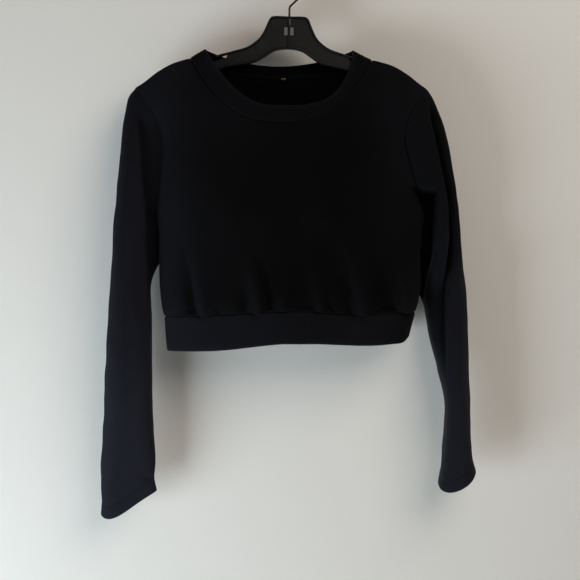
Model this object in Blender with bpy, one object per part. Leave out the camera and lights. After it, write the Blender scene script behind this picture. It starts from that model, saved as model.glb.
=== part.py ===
"""Cropped crew-neck sweatshirt hanging empty on a plastic clothes hanger with a wire hook.

The cloth is one skin, worked out as grids of points: front, back, two sleeves, neckband and
waistband share the points of their seams. Each piece is then cut from the skin, given its wall
along the skin's own normals, and drawn back a little from its neighbours at the seams.
Sizes are millimetres. The origin is under the top of the hook, where a rail bears. +X is the
viewer's right, +Y is towards the back of the garment and +Z is up.
"""

import math
from typing import NamedTuple

import bmesh
import bpy
from mathutils import Matrix, Vector

MM = 0.001

# Cloth
CLOTH = 2.0
BAND_OUT = 0.5
BAND_IN = 2.7
SEAM_GAP = 0.36
HARD_FOLD = 0.25
FOLD_THIN = 0.6
WELD = 0.001
SAME_DIGITS = 3

# Grid: the armhole rows are shared by the panels and the sleeves
ARMHOLE_ROWS = 12
SIDE_ROWS = 5
SHOULDER_COLUMNS = 5
NECK_COLUMNS = 20
NECK_CROWDING = 0.85
SLEEVE_ROWS = 19
NECKBAND_ROWS = 3
WAISTBAND_ROWS = 3

# Shoulders: left is the viewer's left
NECK_POINT = {"left": (-143.6, -126.3), "right": (120.4, -129.2)}
SHOULDER_POINT = {"left": (-221.9, -168.5), "right": (200.1, -171.1)}
SHOULDER_PLACES = (0, 0.33, 0.6, 0.85, 1)
SHOULDER_DROPS = (0, 0.19, 0.47, 0.83, 1)
SHOULDER_ROLL = 12.0
RIDGE_OVER_NECK = 8.0
RIDGE_FADE = 60.0
ROUND_OFF = 0.01

# Neckline: depth below the neck points, and how square its curve is
FRONT_NECK_LEVEL = -223.0
BACK_NECK_LEVEL = -154.0
FRONT_NECK_POWER = 2.6
BACK_NECK_POWER = 2.2

# Upper edge of the neckband
BAND_PEAK = {"left": (-121.8, -114.4), "right": (91.4, -115.7)}
BAND_FRONT_LEVEL = -198.2
BAND_BACK_LEVEL = -136.1
BAND_FRONT_Y = -30.0
BAND_BACK_Y = 21.0
BAND_EDGE_POWER = 2.0
BAND_PLAN_POWER = 0.44
BAND_SWELL = 1.6

# Across a panel: how square the cross-section is
SECTION_POWER = 5.0
SECTION_ROUND = 1.5
SIDE_SEAM_Y = -2.0

SIDES = ("left", "right")


class Level(NamedTuple):
    """Body at one height: the two side seams, and how far front and back stand out."""

    z: float
    left: float
    right: float
    front: float
    back: float


class Ring(NamedTuple):
    """Sleeve ring: its outer line, its underarm line, depths, how far its front leans, its dip."""

    outer_x: float
    outer_z: float
    inner_x: float
    inner_z: float
    inner_y: float
    front: float
    back: float
    lean: float
    dip: float


class Edge(NamedTuple):
    """Height of a horizontal seam or hem at one place across the garment."""

    x: float
    z: float


class Gather(NamedTuple):
    """Soft ridge that rises from the waistband seam and leans as it fades."""

    x: float
    lean: float
    height: float
    width: float
    stand: float


BODY = (
    Level(-125, -191.0, 195.5, 0, 0),
    Level(-160, -191.0, 195.5, 10, 4),
    Level(-215, -191.0, 195.5, 22, 9),
    Level(-300, -191.0, 195.5, 34, 15),
    Level(-353.2, -191.4, 195.8, 40, 19),
    Level(-385, -188.6, 191.8, 43, 22),
    Level(-420, -188.2, 190.4, 46, 25),
    Level(-455, -187.2, 190.8, 49, 27),
    Level(-478, -185.0, 187.5, 50, 28),
    Level(-492, -183.0, 183.5, 44, 24),
    Level(-500, -180.0, 179.0, 36, 18),
)

WAIST_SEAM = {
    "front": (Edge(-180, -500), Edge(-100, -498.5), Edge(0, -492.5), Edge(60, -495), Edge(105, -499), Edge(178, -494)),
    "back": (Edge(-180, -500), Edge(-60, -495), Edge(70, -496), Edge(178, -494)),
}
WAIST_HEM = {
    "front": (Edge(-177, -550), Edge(-100, -548), Edge(0, -538), Edge(110, -541), Edge(150, -538), Edge(175, -529)),
    "back": (Edge(-177, -550), Edge(-60, -543), Edge(70, -541), Edge(175, -529)),
}
WAIST_HEM_HALF = {"left": -176.2, "right": 174.6}

# Gathers over the waistband: how full they are at the seam, and how soon they are full above it
GATHER_FOOT = 0.45
GATHER_SWELLS = 5.0
GATHERS = {
    "front": (
        Gather(-134, -20, 110, 12, 7),
        Gather(-66, -12, 80, 11, 5),
        Gather(-37, -14, 90, 9, 6),
        Gather(-14, 4, 45, 9, 4),
        Gather(32, -10, 85, 12, 6),
        Gather(98, -28, 115, 12, 8),
        Gather(160, -4, 75, 13, 6),
    ),
    "back": (
        Gather(-120, 10, 90, 12, 5),
        Gather(-58, -8, 70, 11, 4),
        Gather(4, 6, 85, 12, 5),
        Gather(66, -6, 75, 11, 4),
        Gather(128, -12, 95, 12, 5),
    ),
}

# Armhole: how far its middle is cut in towards the chest
ARMHOLE_INSET = {"left": 20.0, "right": 29.0}
INSET_FADE = 4.0
INSET_POWER = 2.0
RING_POWER = 0.78
EDGE_EASE = 1.6

SLEEVES = {
    "left": (
        Ring(-221.9, -168.5, -191.4, -353.2, -2, 17, 22, 0, 0),
        Ring(-233.0, -186, -190.8, -369, 4, 27, 27, 3, 0),
        Ring(-239.0, -222, -190.0, -393, 11, 36, 31, 7, 0),
        Ring(-243.5, -290, -188.5, -414, 17, 42, 34, 9, 0),
        Ring(-250.0, -364.8, -194.5, -436, 16, 42, 35, 8, 0),
        Ring(-258.2, -454.7, -201.1, -463, 9, 38, 33, 4, 0),
        Ring(-263.2, -520, -200.5, -520, 4, 34, 30, 1, 0),
        Ring(-266.8, -585.2, -199.1, -585.2, 1, 29, 25, 0, 0),
        Ring(-269.6, -650, -197.8, -646, 0, 24, 21, 0, 0),
        Ring(-271.2, -725, -193.4, -704, 0, 17, 16, 0, 1),
        Ring(-270.9, -773.7, -195.0, -734.6, 0, 12, 12, 0, 2),
        Ring(-269.7, -792.6, -191.7, -752.7, 0, 11, 11, 0, 3),
    ),
    "right": (
        Ring(200.1, -171.1, 195.8, -353.2, -2, 35, 24, 0, 0),
        Ring(211.5, -194, 196.0, -375, 3, 41, 28, 2, 0),
        Ring(223.5, -228, 194.5, -402, 10, 45, 32, 6, 0),
        Ring(235.0, -290, 191.5, -432, 17, 46, 35, 10, 0),
        Ring(244.5, -360, 190.0, -458, 19, 45, 37, 8, 0),
        Ring(252.2, -440, 198.0, -487, 14, 42, 38, 3, 0),
        Ring(257.6, -520, 204.2, -525, 6, 41, 38, 0, 0),
        Ring(260.8, -590, 219.2, -590, 2, 39, 36, -2, 0),
        Ring(261.9, -634, 225.6, -628, 0, 37, 34, -2, 2),
        Ring(263.0, -683, 223.8, -683, 0, 33, 31, 0, 5),
        Ring(266.8, -708, 221.6, -722, 0, 30, 28, 0, 9),
        Ring(270.4, -722, 219.2, -742, 0, 28, 27, 0, 11),
    ),
}

# Long fold down the front of the right sleeve: angle round the ring, depth and half-width there,
# and the shares of the sleeve's length over which it opens and closes
SLEEVE_FOLD_ANGLE = 74.0
SLEEVE_FOLD_DEPTH = 9.0
SLEEVE_FOLD_WIDTH = 16.0
SLEEVE_FOLD_OPENS = 0.2
SLEEVE_FOLD_CLOSES = (0.55, 0.72)

# Hanger, measured from the middle of its flat top
HANGER_ROLL = math.radians(1.6)
HANGER_SHIFT = 2.3
HANGER_THICK = 8.4
HANGER_RIM = 2.6
HANGER_POCKET = 3.0
HANGER_UPPER = (
    (23.0, 0.0),
    (27.6, -2.6),
    (31.2, -10.0),
    (36.3, -22.0),
    (43.5, -33.4),
    (58.7, -45.0),
    (79.8, -52.0),
    (100.0, -58.0),
    (130.5, -69.0),
    (159.5, -79.5),
    (179.8, -91.0),
    (192.0, -102.0),
    (196.0, -110.0),
)
HANGER_LOWER = (
    (190.0, -115.5),
    (173.0, -105.0),
    (150.0, -94.5),
    (105.0, -79.5),
    (57.0, -69.4),
    (46.0, -66.4),
    (33.0, -58.6),
    (19.0, -49.9),
)
HANGER_ARCH = (0.0, -46.9)
BOSS_RADIUS = 3.3
BOSS_TOP = -1.0
BOSS_BOTTOM = -12.5
RIB_RADIUS = 1.9
RIB_TOP = -28.0
RIB_BOTTOM = -42.0
PAD_TOP = -14.5
PAD_BOTTOM = -26.5
PAD_INNER = 1.9
PAD_OUTER = 7.2
PAD_THICK = 1.4

# How far the posts' facets are turned, so that none lies in the plane of another
POST_TURN = {"bore": 0.05, "boss": 0.11, "rib": 0.13}

# Strap notch: an undercut slot along the upper edge of each arm, open at its outer end
NOTCH = (
    (88.0, -57.6),
    (89.6, -62.2),
    (111.0, -69.6),
    (113.0, -50.0),
    (106.0, -50.0),
    (104.5, -61.8),
)

# Hook
WIRE_RADIUS = 1.5
HOOK_RADIUS = 22.0
HOOK_STEM = 14.5
HOOK_SINK = 24.0
HOOK_BEND = ((0.0, -3.0), (0.9, 1.6))
HOOK_LEAVES = math.radians(-45)
HOOK_ENDS = math.radians(212)
HOOK_STEPS = 18
BORE_RADIUS = 1.9
BORE_PAST = 1.0

# Label stub left behind at the back neck
STUB_WIDE = 6.0
STUB_TALL = 2.4
STUB_THICK = 0.8
STUB_OFF = 0.6
STUB_X = -8.0

HOOK_CENTRE = HOOK_STEM + HOOK_RADIUS * (1 / math.cos(math.pi / 4))
PLATE_TOP = -(HOOK_CENTRE + HOOK_RADIUS - WIRE_RADIUS)


def lerp(a, b, t):
    return a + (b - a) * t


def smooth_step(t):
    t = min(1.0, max(0.0, t))
    return t * t * (3 - 2 * t)


def through(keys, values, at):
    """A smooth curve through values at rising keys, read at one place, held at its ends."""
    if at <= keys[0]:
        return values[0]
    if at >= keys[-1]:
        return values[-1]
    i = max(n for n, key in enumerate(keys) if key <= at)
    before, after = max(i - 1, 0), min(i + 2, len(keys) - 1)
    span = keys[i + 1] - keys[i]
    start = (values[i + 1] - values[before]) / (keys[i + 1] - keys[before]) * span
    end = (values[after] - values[i]) / (keys[after] - keys[i]) * span
    t = (at - keys[i]) / span
    return (
        (2 * t**3 - 3 * t**2 + 1) * values[i]
        + (t**3 - 2 * t**2 + t) * start
        + (3 * t**2 - 2 * t**3) * values[i + 1]
        + (t**3 - t**2) * end
    )


def body_at(z, column):
    """A column of the BODY table at one height."""
    rows = BODY[::-1]
    return through([row.z for row in rows], [getattr(row, column) for row in rows], z)


def edge_at(table, x):
    """Height of a seam or hem at one place across."""
    return through([row.x for row in table], [row.z for row in table], x)


def shoulder_z(side, x):
    """Height of the shoulder ridge between the neck point and the shoulder point."""
    (neck_x, neck_z), (tip_x, tip_z) = NECK_POINT[side], SHOULDER_POINT[side]
    drop = through(SHOULDER_PLACES, SHOULDER_DROPS, (x - neck_x) / (tip_x - neck_x))
    return lerp(neck_z, tip_z, drop)


def ridge_z(x):
    """Top of the garment over any place across, with a low bridge over the neck."""
    left, right = NECK_POINT["left"], NECK_POINT["right"]
    if x < left[0]:
        return shoulder_z("left", x)
    if x > right[0]:
        return shoulder_z("right", x)
    t = (x - left[0]) / (right[0] - left[0])
    return lerp(left[1], right[1], t) + RIDGE_OVER_NECK * 4 * t * (1 - t)


def roll(drop):
    """How far the cloth stands out that far below the ridge, as it rolls over the hanger."""
    left = 1 - min(max(drop - ROUND_OFF, 0) / SHOULDER_ROLL, 1)
    return SHOULDER_ROLL * math.sqrt(1 - left * left)


def sleeve_ring(side, at):
    """The SLEEVES row at a place along the sleeve, from 0 at the armhole to 1 at the cuff."""
    rows = SLEEVES[side]
    keys = [n / (len(rows) - 1) for n in range(len(rows))]
    return Ring(*(through(keys, [row[c] for row in rows], at) for c in range(len(Ring._fields))))


def ring_point(side, at, angle):
    """Point of a sleeve: angle 0 is the outer line, 90 the front, 180 the underarm line."""
    ring = sleeve_ring(side, at)
    outward = -1 if side == "left" else 1
    outer = Vector((ring.outer_x, 0, ring.outer_z))
    inner = Vector((ring.inner_x, ring.inner_y, ring.inner_z))
    across, around = math.cos(angle), math.sin(angle)
    full = math.copysign(abs(around) ** RING_POWER, around)
    inset = ARMHOLE_INSET[side] * (1 - smooth_step(at * INSET_FADE)) * abs(around) ** INSET_POWER
    point = outer.lerp(inner, (1 - across) / 2)
    point.x += outward * (ring.lean * around - inset)
    point.y -= full * (ring.front if around > 0 else ring.back)
    point.z -= ring.dip * around
    if side == "right":
        fold = math.degrees(angle) - SLEEVE_FOLD_ANGLE
        starts, ends = SLEEVE_FOLD_CLOSES
        closes = 1 - smooth_step((at - starts) / (ends - starts))
        depth = SLEEVE_FOLD_DEPTH * smooth_step(at / SLEEVE_FOLD_OPENS) * closes
        point.y += depth * math.exp(-((fold / SLEEVE_FOLD_WIDTH) ** 2))
    return point


def closed(rows):
    """Rings whose last point is their first."""
    return [[*row[:-1], row[0].copy()] for row in rows]


def sleeve_grid(side):
    count = 2 * ARMHOLE_ROWS
    turn = 1 if side == "right" else -1
    rows = []
    for k in range(SLEEVE_ROWS + 1):
        ring = [ring_point(side, k / SLEEVE_ROWS, 2 * math.pi * m / count) for m in range(count + 1)]
        rows.append(ring[::turn])
    return closed(rows)


def panel_edge(side, face, row):
    """Edge of a panel: down the armhole, then down the side seam."""
    if row <= ARMHOLE_ROWS:
        angle = math.pi * row / ARMHOLE_ROWS
        return ring_point(side, 0, angle if face == "front" else -angle)
    top = SLEEVES[side][0].inner_z
    seam = WAIST_SEAM[face][0 if side == "left" else -1].z
    z = lerp(top, seam, (row - ARMHOLE_ROWS) / SIDE_ROWS)
    return Vector((body_at(z, side), SIDE_SEAM_Y, z))


def soft_edge(side, face, row):
    """Depth from which a panel swells near its edge: the armhole's, eased out at the underarm."""
    around = math.sin(math.pi * min(row / ARMHOLE_ROWS, 1))
    depth = getattr(SLEEVES[side][0], face)
    power = RING_POWER if row < ARMHOLE_ROWS / 2 else EDGE_EASE
    return SIDE_SEAM_Y + (-depth if face == "front" else depth) * around**power


def neck_column(n):
    """Place of a neckline column from -1 at the left neck point to 1, closer near the points."""
    even = 2 * n / NECK_COLUMNS - 1
    return lerp(even, math.sin(even * math.pi / 2), NECK_CROWDING)


def panel_top(face):
    """Upper outline of a panel, left to right: shoulder, neckline, shoulder."""
    places = []
    for n in range(SHOULDER_COLUMNS):
        x = lerp(SHOULDER_POINT["left"][0], NECK_POINT["left"][0], n / SHOULDER_COLUMNS)
        places.append((x, shoulder_z("left", x)))
    lowest, power = (
        (FRONT_NECK_LEVEL, FRONT_NECK_POWER) if face == "front" else (BACK_NECK_LEVEL, BACK_NECK_POWER)
    )
    for n in range(NECK_COLUMNS + 1):
        t = neck_column(n)
        x = lerp(NECK_POINT["left"][0], NECK_POINT["right"][0], (t + 1) / 2)
        end = NECK_POINT["left" if t < 0 else "right"][1]
        places.append((x, lerp(lowest, end, abs(t) ** power)))
    for n in range(1, SHOULDER_COLUMNS + 1):
        x = lerp(NECK_POINT["right"][0], SHOULDER_POINT["right"][0], n / SHOULDER_COLUMNS)
        places.append((x, shoulder_z("right", x)))
    return places


def gathering(face, x, z):
    """How far the gathers over the waistband lift the cloth."""
    lift = 0.0
    for fold in GATHERS[face]:
        up = (z - edge_at(WAIST_SEAM[face], x)) / fold.height
        if 0 <= up < 1:
            middle = fold.x + fold.lean * up
            fade = lerp(GATHER_FOOT, 1, smooth_step(up * GATHER_SWELLS)) * (1 - smooth_step(up))
            lift += fold.stand * fade * math.exp(-(((x - middle) / fold.width) ** 2))
    return lift


def panel_grid(face):
    top = panel_top(face)
    rows = ARMHOLE_ROWS + SIDE_ROWS
    out = -1 if face == "front" else 1
    left = [panel_edge("left", face, i) for i in range(rows + 1)]
    right = [panel_edge("right", face, i) for i in range(rows + 1)]
    grid = []
    for i in range(rows + 1):
        line = []
        for top_x, top_z in top:
            w = (top_x - top[0][0]) / (top[-1][0] - top[0][0])
            down = lerp(*((e[i].z - e[0].z) / (e[-1].z - e[0].z) for e in (left, right)), w)
            x = lerp(left[i].x, right[i].x, w)
            foot_x = lerp(left[-1].x, right[-1].x, w)
            z = lerp(top_z, edge_at(WAIST_SEAM[face], foot_x), down)
            full = (1 - abs(2 * w - 1) ** SECTION_POWER) ** (1 / SECTION_ROUND)
            drop = ridge_z(x) - z
            stand = body_at(z, face) * smooth_step(drop / RIDGE_FADE)
            middle = out * (roll(drop) + stand + gathering(face, x, z))
            edge = soft_edge("left" if w < 0.5 else "right", face, i)
            line.append(Vector((x, lerp(edge, middle, full), z)))
        line[0], line[-1] = left[i].copy(), right[i].copy()
        grid.append(line if face == "front" else line[::-1])
    return grid


def neck_ring(front, back):
    """The seam round the neck: along the front from left to right, then back along the back."""
    a, b = SHOULDER_COLUMNS, SHOULDER_COLUMNS + NECK_COLUMNS
    return front[0][a : b + 1] + back[0][a + 1 : b + 1]


def neckband_grid(front, back):
    seam = neck_ring(front, back)
    rows = [[] for _ in range(NECKBAND_ROWS + 1)]
    for n, low in enumerate(seam):
        front_half = n <= NECK_COLUMNS
        t = neck_column(n if front_half else 2 * NECK_COLUMNS - n)
        peak = BAND_PEAK["left" if t < 0 else "right"][1]
        level, y = (BAND_FRONT_LEVEL, BAND_FRONT_Y) if front_half else (BAND_BACK_LEVEL, BAND_BACK_Y)
        x = lerp(BAND_PEAK["left"][0], BAND_PEAK["right"][0], (t + 1) / 2)
        full = (1 - abs(t) ** BAND_EDGE_POWER) ** BAND_PLAN_POWER
        high = Vector((x, y * full, lerp(level, peak, abs(t) ** BAND_EDGE_POWER)))
        for row in range(NECKBAND_ROWS + 1):
            up = row / NECKBAND_ROWS
            point = low.lerp(high, up)
            point.y += math.copysign(BAND_SWELL * 4 * up * (1 - up), y) * (1 - t * t)
            rows[NECKBAND_ROWS - row].append(point)
    return closed(rows)


def waistband_grid(front, back):
    seam = front[-1] + back[-1][1:]
    rows = [[] for _ in range(WAISTBAND_ROWS + 1)]
    for n, high in enumerate(seam):
        face = "front" if n < len(front[-1]) else "back"
        t = (high.x - front[-1][0].x) / (front[-1][-1].x - front[-1][0].x)
        x = lerp(WAIST_HEM_HALF["left"], WAIST_HEM_HALF["right"], t)
        low = Vector((x, high.y, edge_at(WAIST_HEM[face], x)))
        for row in range(WAISTBAND_ROWS + 1):
            rows[row].append(high.lerp(low, row / WAISTBAND_ROWS))
    return closed(rows)


def key_of(point):
    return tuple(round(c, SAME_DIGITS) for c in point)


def skin_normals(grids):
    """Outward normal at every point of the skin, with all the pieces sewn together."""
    bm = bmesh.new()
    for grid in grids:
        verts = [[bm.verts.new(point) for point in row] for row in grid]
        for upper, lower in zip(verts, verts[1:]):
            for a, b, c, d in zip(upper, lower, lower[1:], upper[1:]):
                bm.faces.new((a, b, c, d))
    bmesh.ops.remove_doubles(bm, verts=bm.verts, dist=WELD)
    bmesh.ops.recalc_face_normals(bm, faces=bm.faces)
    bm.normal_update()
    lowest = min(bm.verts, key=lambda v: v.co.y)
    turn = 1 if lowest.normal.y < 0 else -1
    normals = {key_of(v.co): v.normal * turn for v in bm.verts}
    bm.free()
    return normals


def material(name, colour, roughness, metallic=0.0):
    made = bpy.data.materials.new(name)
    made.use_nodes = True
    shader = made.node_tree.nodes["Principled BSDF"]
    shader.inputs["Base Color"].default_value = (*colour, 1)
    shader.inputs["Roughness"].default_value = roughness
    shader.inputs["Metallic"].default_value = metallic
    return made


def add_object(name, data, finish, collection):
    data.materials.append(finish)
    made = bpy.data.objects.new(name, data)
    collection.objects.link(made)
    return made


def is_ring(grid):
    return (grid[0][0] - grid[0][-1]).length < SEAM_GAP


def wall_normal(grid, normals, row, column):
    """Direction of the wall: the skin's normal, or where a seam folds inwards the piece's own."""
    here = normals[key_of(grid[row][column])]
    inner_row = min(max(row, 1), len(grid) - 2)
    inner_column = column if is_ring(grid) else min(max(column, 1), len(grid[0]) - 2)
    inward = grid[inner_row][inner_column] - grid[row][column]
    if row == ARMHOLE_ROWS and inner_column != column:
        inner_row, inner_column = row + 1, column
    elif here.dot(inward) <= HARD_FOLD * inward.length:
        return here
    return normals[key_of(grid[inner_row][inner_column])] * FOLD_THIN


def square_to(step, run):
    """The part of a step that is square to a run, with a length of one."""
    return (step - run * step.dot(run) / run.length_squared).normalized()


def drawn_back(grid, normals, row, column):
    """Step that draws an edge point back from the seam, in the plane of the cloth."""
    here, normal = grid[row][column], wall_normal(grid, normals, row, column)
    last_row, last_column = len(grid) - 1, len(grid[0]) - 1
    ring = is_ring(grid)
    step = Vector()
    if row in (0, last_row):
        before = grid[row][last_column - 1 if ring and column == 0 else max(column - 1, 0)]
        after = grid[row][1 if ring and column == last_column else min(column + 1, last_column)]
        step += square_to(grid[1 if row == 0 else row - 1][column] - here, after - before)
    if column in (0, last_column) and not ring:
        run = grid[min(row + 1, last_row)][column] - grid[max(row - 1, 0)][column]
        step += square_to(grid[row][1 if column == 0 else column - 1] - here, run)
    if step.length:
        step = square_to(step, normal) * SEAM_GAP / 2
    if normal.length < 0.99:
        step -= normal.normalized() * SEAM_GAP
    return step


def cloth_piece(name, grid, normals, out, into, finish, collection):
    """One piece of cloth as a closed wall: its face extruded along the skin's normals."""
    rows, columns = len(grid) - 1, len(grid[0]) - 1
    bm = bmesh.new()
    bmesh.ops.create_grid(bm, x_segments=columns, y_segments=rows, size=1)
    along = {}
    for vert in bm.verts:
        column = round((vert.co.x + 1) / 2 * columns)
        row = round((1 - vert.co.y) / 2 * rows)
        point, normal = grid[row][column], wall_normal(grid, normals, row, column)
        vert.co = point + drawn_back(grid, normals, row, column) + normal * out
        along[key_of(vert.co)] = normal
    bmesh.ops.remove_doubles(bm, verts=bm.verts, dist=WELD)
    inner = bmesh.ops.extrude_face_region(bm, geom=bm.faces[:], use_keep_orig=True)
    for vert in (g for g in inner["geom"] if isinstance(g, bmesh.types.BMVert)):
        vert.co -= along[key_of(vert.co)] * (out + into)
    bmesh.ops.recalc_face_normals(bm, faces=bm.faces)
    bmesh.ops.scale(bm, vec=(MM, MM, MM), verts=bm.verts)
    data = bpy.data.meshes.new(name)
    bm.to_mesh(data)
    bm.free()
    return add_object(name, data, finish, collection)


def on_hanger():
    """Places a shape drawn from the middle of the hanger's top, turned to face the viewer."""
    drop = Matrix.Translation((0, 0, PLATE_TOP * MM))
    turned = Matrix.Rotation(HANGER_ROLL, 4, "Y") @ drop @ Matrix.Rotation(math.pi / 2, 4, "X")
    return Matrix.Translation((HANGER_SHIFT * MM, 0, 0)) @ turned


def outline_mesh(name, points, half_thick, offset, place, straight=False):
    """A closed flat outline, smooth unless it is straight, given a thickness, as a mesh."""
    curve = bpy.data.curves.new(name, "CURVE")
    curve.dimensions = "2D"
    curve.fill_mode = "BOTH"
    curve.resolution_u = 3
    curve.extrude = half_thick * MM
    curve.offset = offset * MM
    spline = curve.splines.new("BEZIER")
    spline.bezier_points.add(len(points) - 1)
    for knot, (x, z) in zip(spline.bezier_points, points):
        knot.co = (x * MM, z * MM, 0)
        knot.handle_left_type = knot.handle_right_type = "VECTOR" if straight else "AUTO"
    spline.use_cyclic_u = True
    return curve_to_mesh(name, curve, place)


def curve_to_mesh(name, curve, place):
    """The curve's evaluated surface as a welded mesh, and the curve removed."""
    drawn = bpy.data.objects.new(name + "_curve", curve)
    bpy.context.scene.collection.objects.link(drawn)
    drawn.matrix_world = place
    bpy.context.view_layer.update()
    graph = bpy.context.evaluated_depsgraph_get()
    data = bpy.data.meshes.new_from_object(drawn.evaluated_get(graph))
    bpy.data.objects.remove(drawn)
    bm = bmesh.new()
    bm.from_mesh(data)
    bmesh.ops.remove_doubles(bm, verts=bm.verts, dist=WELD * MM)
    bmesh.ops.recalc_face_normals(bm, faces=bm.faces)
    bmesh.ops.transform(bm, matrix=place, verts=bm.verts)
    bm.to_mesh(data)
    bm.free()
    data.name = name
    return data


def solid_mesh(name, place, kind, **size):
    """A primitive made with bmesh and moved into place."""
    bm = bmesh.new()
    getattr(bmesh.ops, kind)(bm, **size)
    bmesh.ops.transform(bm, matrix=place, verts=bm.verts)
    data = bpy.data.meshes.new(name)
    bm.to_mesh(data)
    bm.free()
    return data


def box_mesh(name, low, high, place):
    middle = [lerp(a, b, 0.5) * MM for a, b in zip(low, high)]
    size = [(b - a) * MM for a, b in zip(low, high)]
    shape = Matrix.Translation(middle) @ Matrix.Diagonal((*size, 1))
    return solid_mesh(name, place @ shape, "create_cube", size=1)


def combine(target, data, operation, cutters):
    other = bpy.data.objects.new(data.name, data)
    cutters.objects.link(other)
    other.hide_render = True
    other.display_type = "WIRE"
    change = target.modifiers.new(data.name, "BOOLEAN")
    change.operation = operation
    change.object = other


def upright(name, radius, top, bottom, place):
    """A round post between two heights, on the hanger's middle line."""
    stand = Matrix.Translation((0, (top + bottom) / 2 * MM, 0)) @ Matrix.Rotation(math.pi / 2, 4, "X")
    return solid_mesh(
        name,
        place @ stand @ Matrix.Rotation(POST_TURN[name], 4, "Z"),
        "create_cone",
        cap_ends=True,
        segments=16,
        radius1=radius * MM,
        radius2=radius * MM,
        depth=(top - bottom) * MM,
    )


def hanger_body(finish, collection, cutters):
    """Moulded hanger: a flanged plate with an arch, two arms, strap notches and a hook boss."""
    half = [(0.0, 0.0), *HANGER_UPPER, *HANGER_LOWER, HANGER_ARCH]
    points = half + [(-x, z) for x, z in half[-2:0:-1]]
    place = on_hanger()
    data = outline_mesh("hanger_body", points, HANGER_THICK / 2, 0, place)
    body = add_object("hanger_body", data, finish, collection)
    for face in (-1, 1):
        shift = Matrix.Translation((0, 0, face * HANGER_THICK / 2 * MM))
        pocket = outline_mesh(f"pocket_{face}", points, HANGER_POCKET, -HANGER_RIM, place @ shift)
        combine(body, pocket, "DIFFERENCE", cutters)
    combine(body, upright("boss", BOSS_RADIUS, BOSS_TOP, BOSS_BOTTOM, place), "UNION", cutters)
    combine(body, upright("rib", RIB_RADIUS, RIB_TOP, RIB_BOTTOM, place), "UNION", cutters)
    bore = upright("bore", BORE_RADIUS, BORE_PAST, -HOOK_SINK - BORE_PAST, place)
    combine(body, bore, "DIFFERENCE", cutters)
    for side, outward in (("left", -1), ("right", 1)):
        outline = [(outward * x, z) for x, z in NOTCH]
        notch = outline_mesh(f"notch_{side}", outline, HANGER_THICK, 0, place, straight=True)
        combine(body, notch, "DIFFERENCE", cutters)
    return body


def hook_pads(finish, collection):
    """Two plain pads on the front of the plate, either side of the hook's end."""
    off = HANGER_THICK / 2 - HANGER_POCKET + SEAM_GAP
    for side, outward in (("left", -1), ("right", 1)):
        across = sorted((outward * PAD_INNER, outward * PAD_OUTER))
        low = (across[0], PAD_BOTTOM, off)
        high = (across[1], PAD_TOP, off + PAD_THICK)
        data = box_mesh(f"pad_{side}", low, high, on_hanger())
        add_object(f"pad_{side}", data, finish, collection)


def hanger_hook(finish, collection):
    """Wire hook: a stem out of the bore, a slanting run and most of a circle."""
    route = [(0.0, -HOOK_SINK)] + [(x, HOOK_STEM + z) for x, z in HOOK_BEND]
    for n in range(HOOK_STEPS + 1):
        angle = lerp(HOOK_LEAVES, HOOK_ENDS, n / HOOK_STEPS)
        route.append((HOOK_RADIUS * math.cos(angle), HOOK_CENTRE + HOOK_RADIUS * math.sin(angle)))
    curve = bpy.data.curves.new("hanger_hook", "CURVE")
    curve.dimensions = "3D"
    curve.bevel_depth = WIRE_RADIUS * MM
    curve.bevel_resolution = 2
    curve.use_fill_caps = True
    spline = curve.splines.new("POLY")
    spline.points.add(len(route) - 1)
    for knot, (x, z) in zip(spline.points, route):
        knot.co = (x * MM, z * MM, 0, 1)
    data = curve_to_mesh("hanger_hook", curve, on_hanger())
    return add_object("hanger_hook", data, finish, collection)


def label_stub(back, normals, finish, collection):
    """What is left of the label: a short stub of tape on the inside of the back neck seam."""
    seam = min(back[1], key=lambda point: abs(point.x - STUB_X))
    inside = seam - normals[key_of(seam)] * (CLOTH + STUB_OFF)
    low = (STUB_X - STUB_WIDE / 2, inside.y - STUB_THICK, inside.z - STUB_TALL)
    high = (STUB_X + STUB_WIDE / 2, inside.y, inside.z)
    data = box_mesh("label_stub", low, high, Matrix.Identity(4))
    return add_object("label_stub", data, finish, collection)


def clear_scene():
    for obj in list(bpy.data.objects):
        bpy.data.objects.remove(obj)


def new_collection(name):
    made = bpy.data.collections.new(name)
    bpy.context.scene.collection.children.link(made)
    return made


def main():
    clear_scene()
    sweatshirt = new_collection("cropped_sweatshirt")
    cutters = new_collection("cutters")
    jersey = material("black_fleece", (0.012, 0.012, 0.014), 0.95)
    plastic = material("black_plastic", (0.02, 0.02, 0.02), 0.5)
    light = material("grey_plastic", (0.12, 0.12, 0.12), 0.45)
    steel = material("hook_steel", (0.1, 0.08, 0.06), 0.35, 1.0)
    tape = material("label_tape", (0.35, 0.3, 0.22), 0.9)

    front, back = panel_grid("front"), panel_grid("back")
    sleeves = {side: sleeve_grid(side) for side in SIDES}
    neckband, waistband = neckband_grid(front, back), waistband_grid(front, back)
    normals = skin_normals([front, back, *sleeves.values(), neckband, waistband])

    cloth_piece("front", front, normals, 0, CLOTH, jersey, sweatshirt)
    cloth_piece("back", back, normals, 0, CLOTH, jersey, sweatshirt)
    for side in SIDES:
        cloth_piece(f"sleeve_{side}", sleeves[side], normals, 0, CLOTH, jersey, sweatshirt)
    cloth_piece("neckband", neckband, normals, BAND_OUT, BAND_IN, jersey, sweatshirt)
    cloth_piece("waistband", waistband, normals, BAND_OUT, BAND_IN, jersey, sweatshirt)
    label_stub(back, normals, tape, sweatshirt)
    hanger_body(plastic, sweatshirt, cutters)
    hook_pads(light, sweatshirt)
    hanger_hook(steel, sweatshirt)


main()
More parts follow.
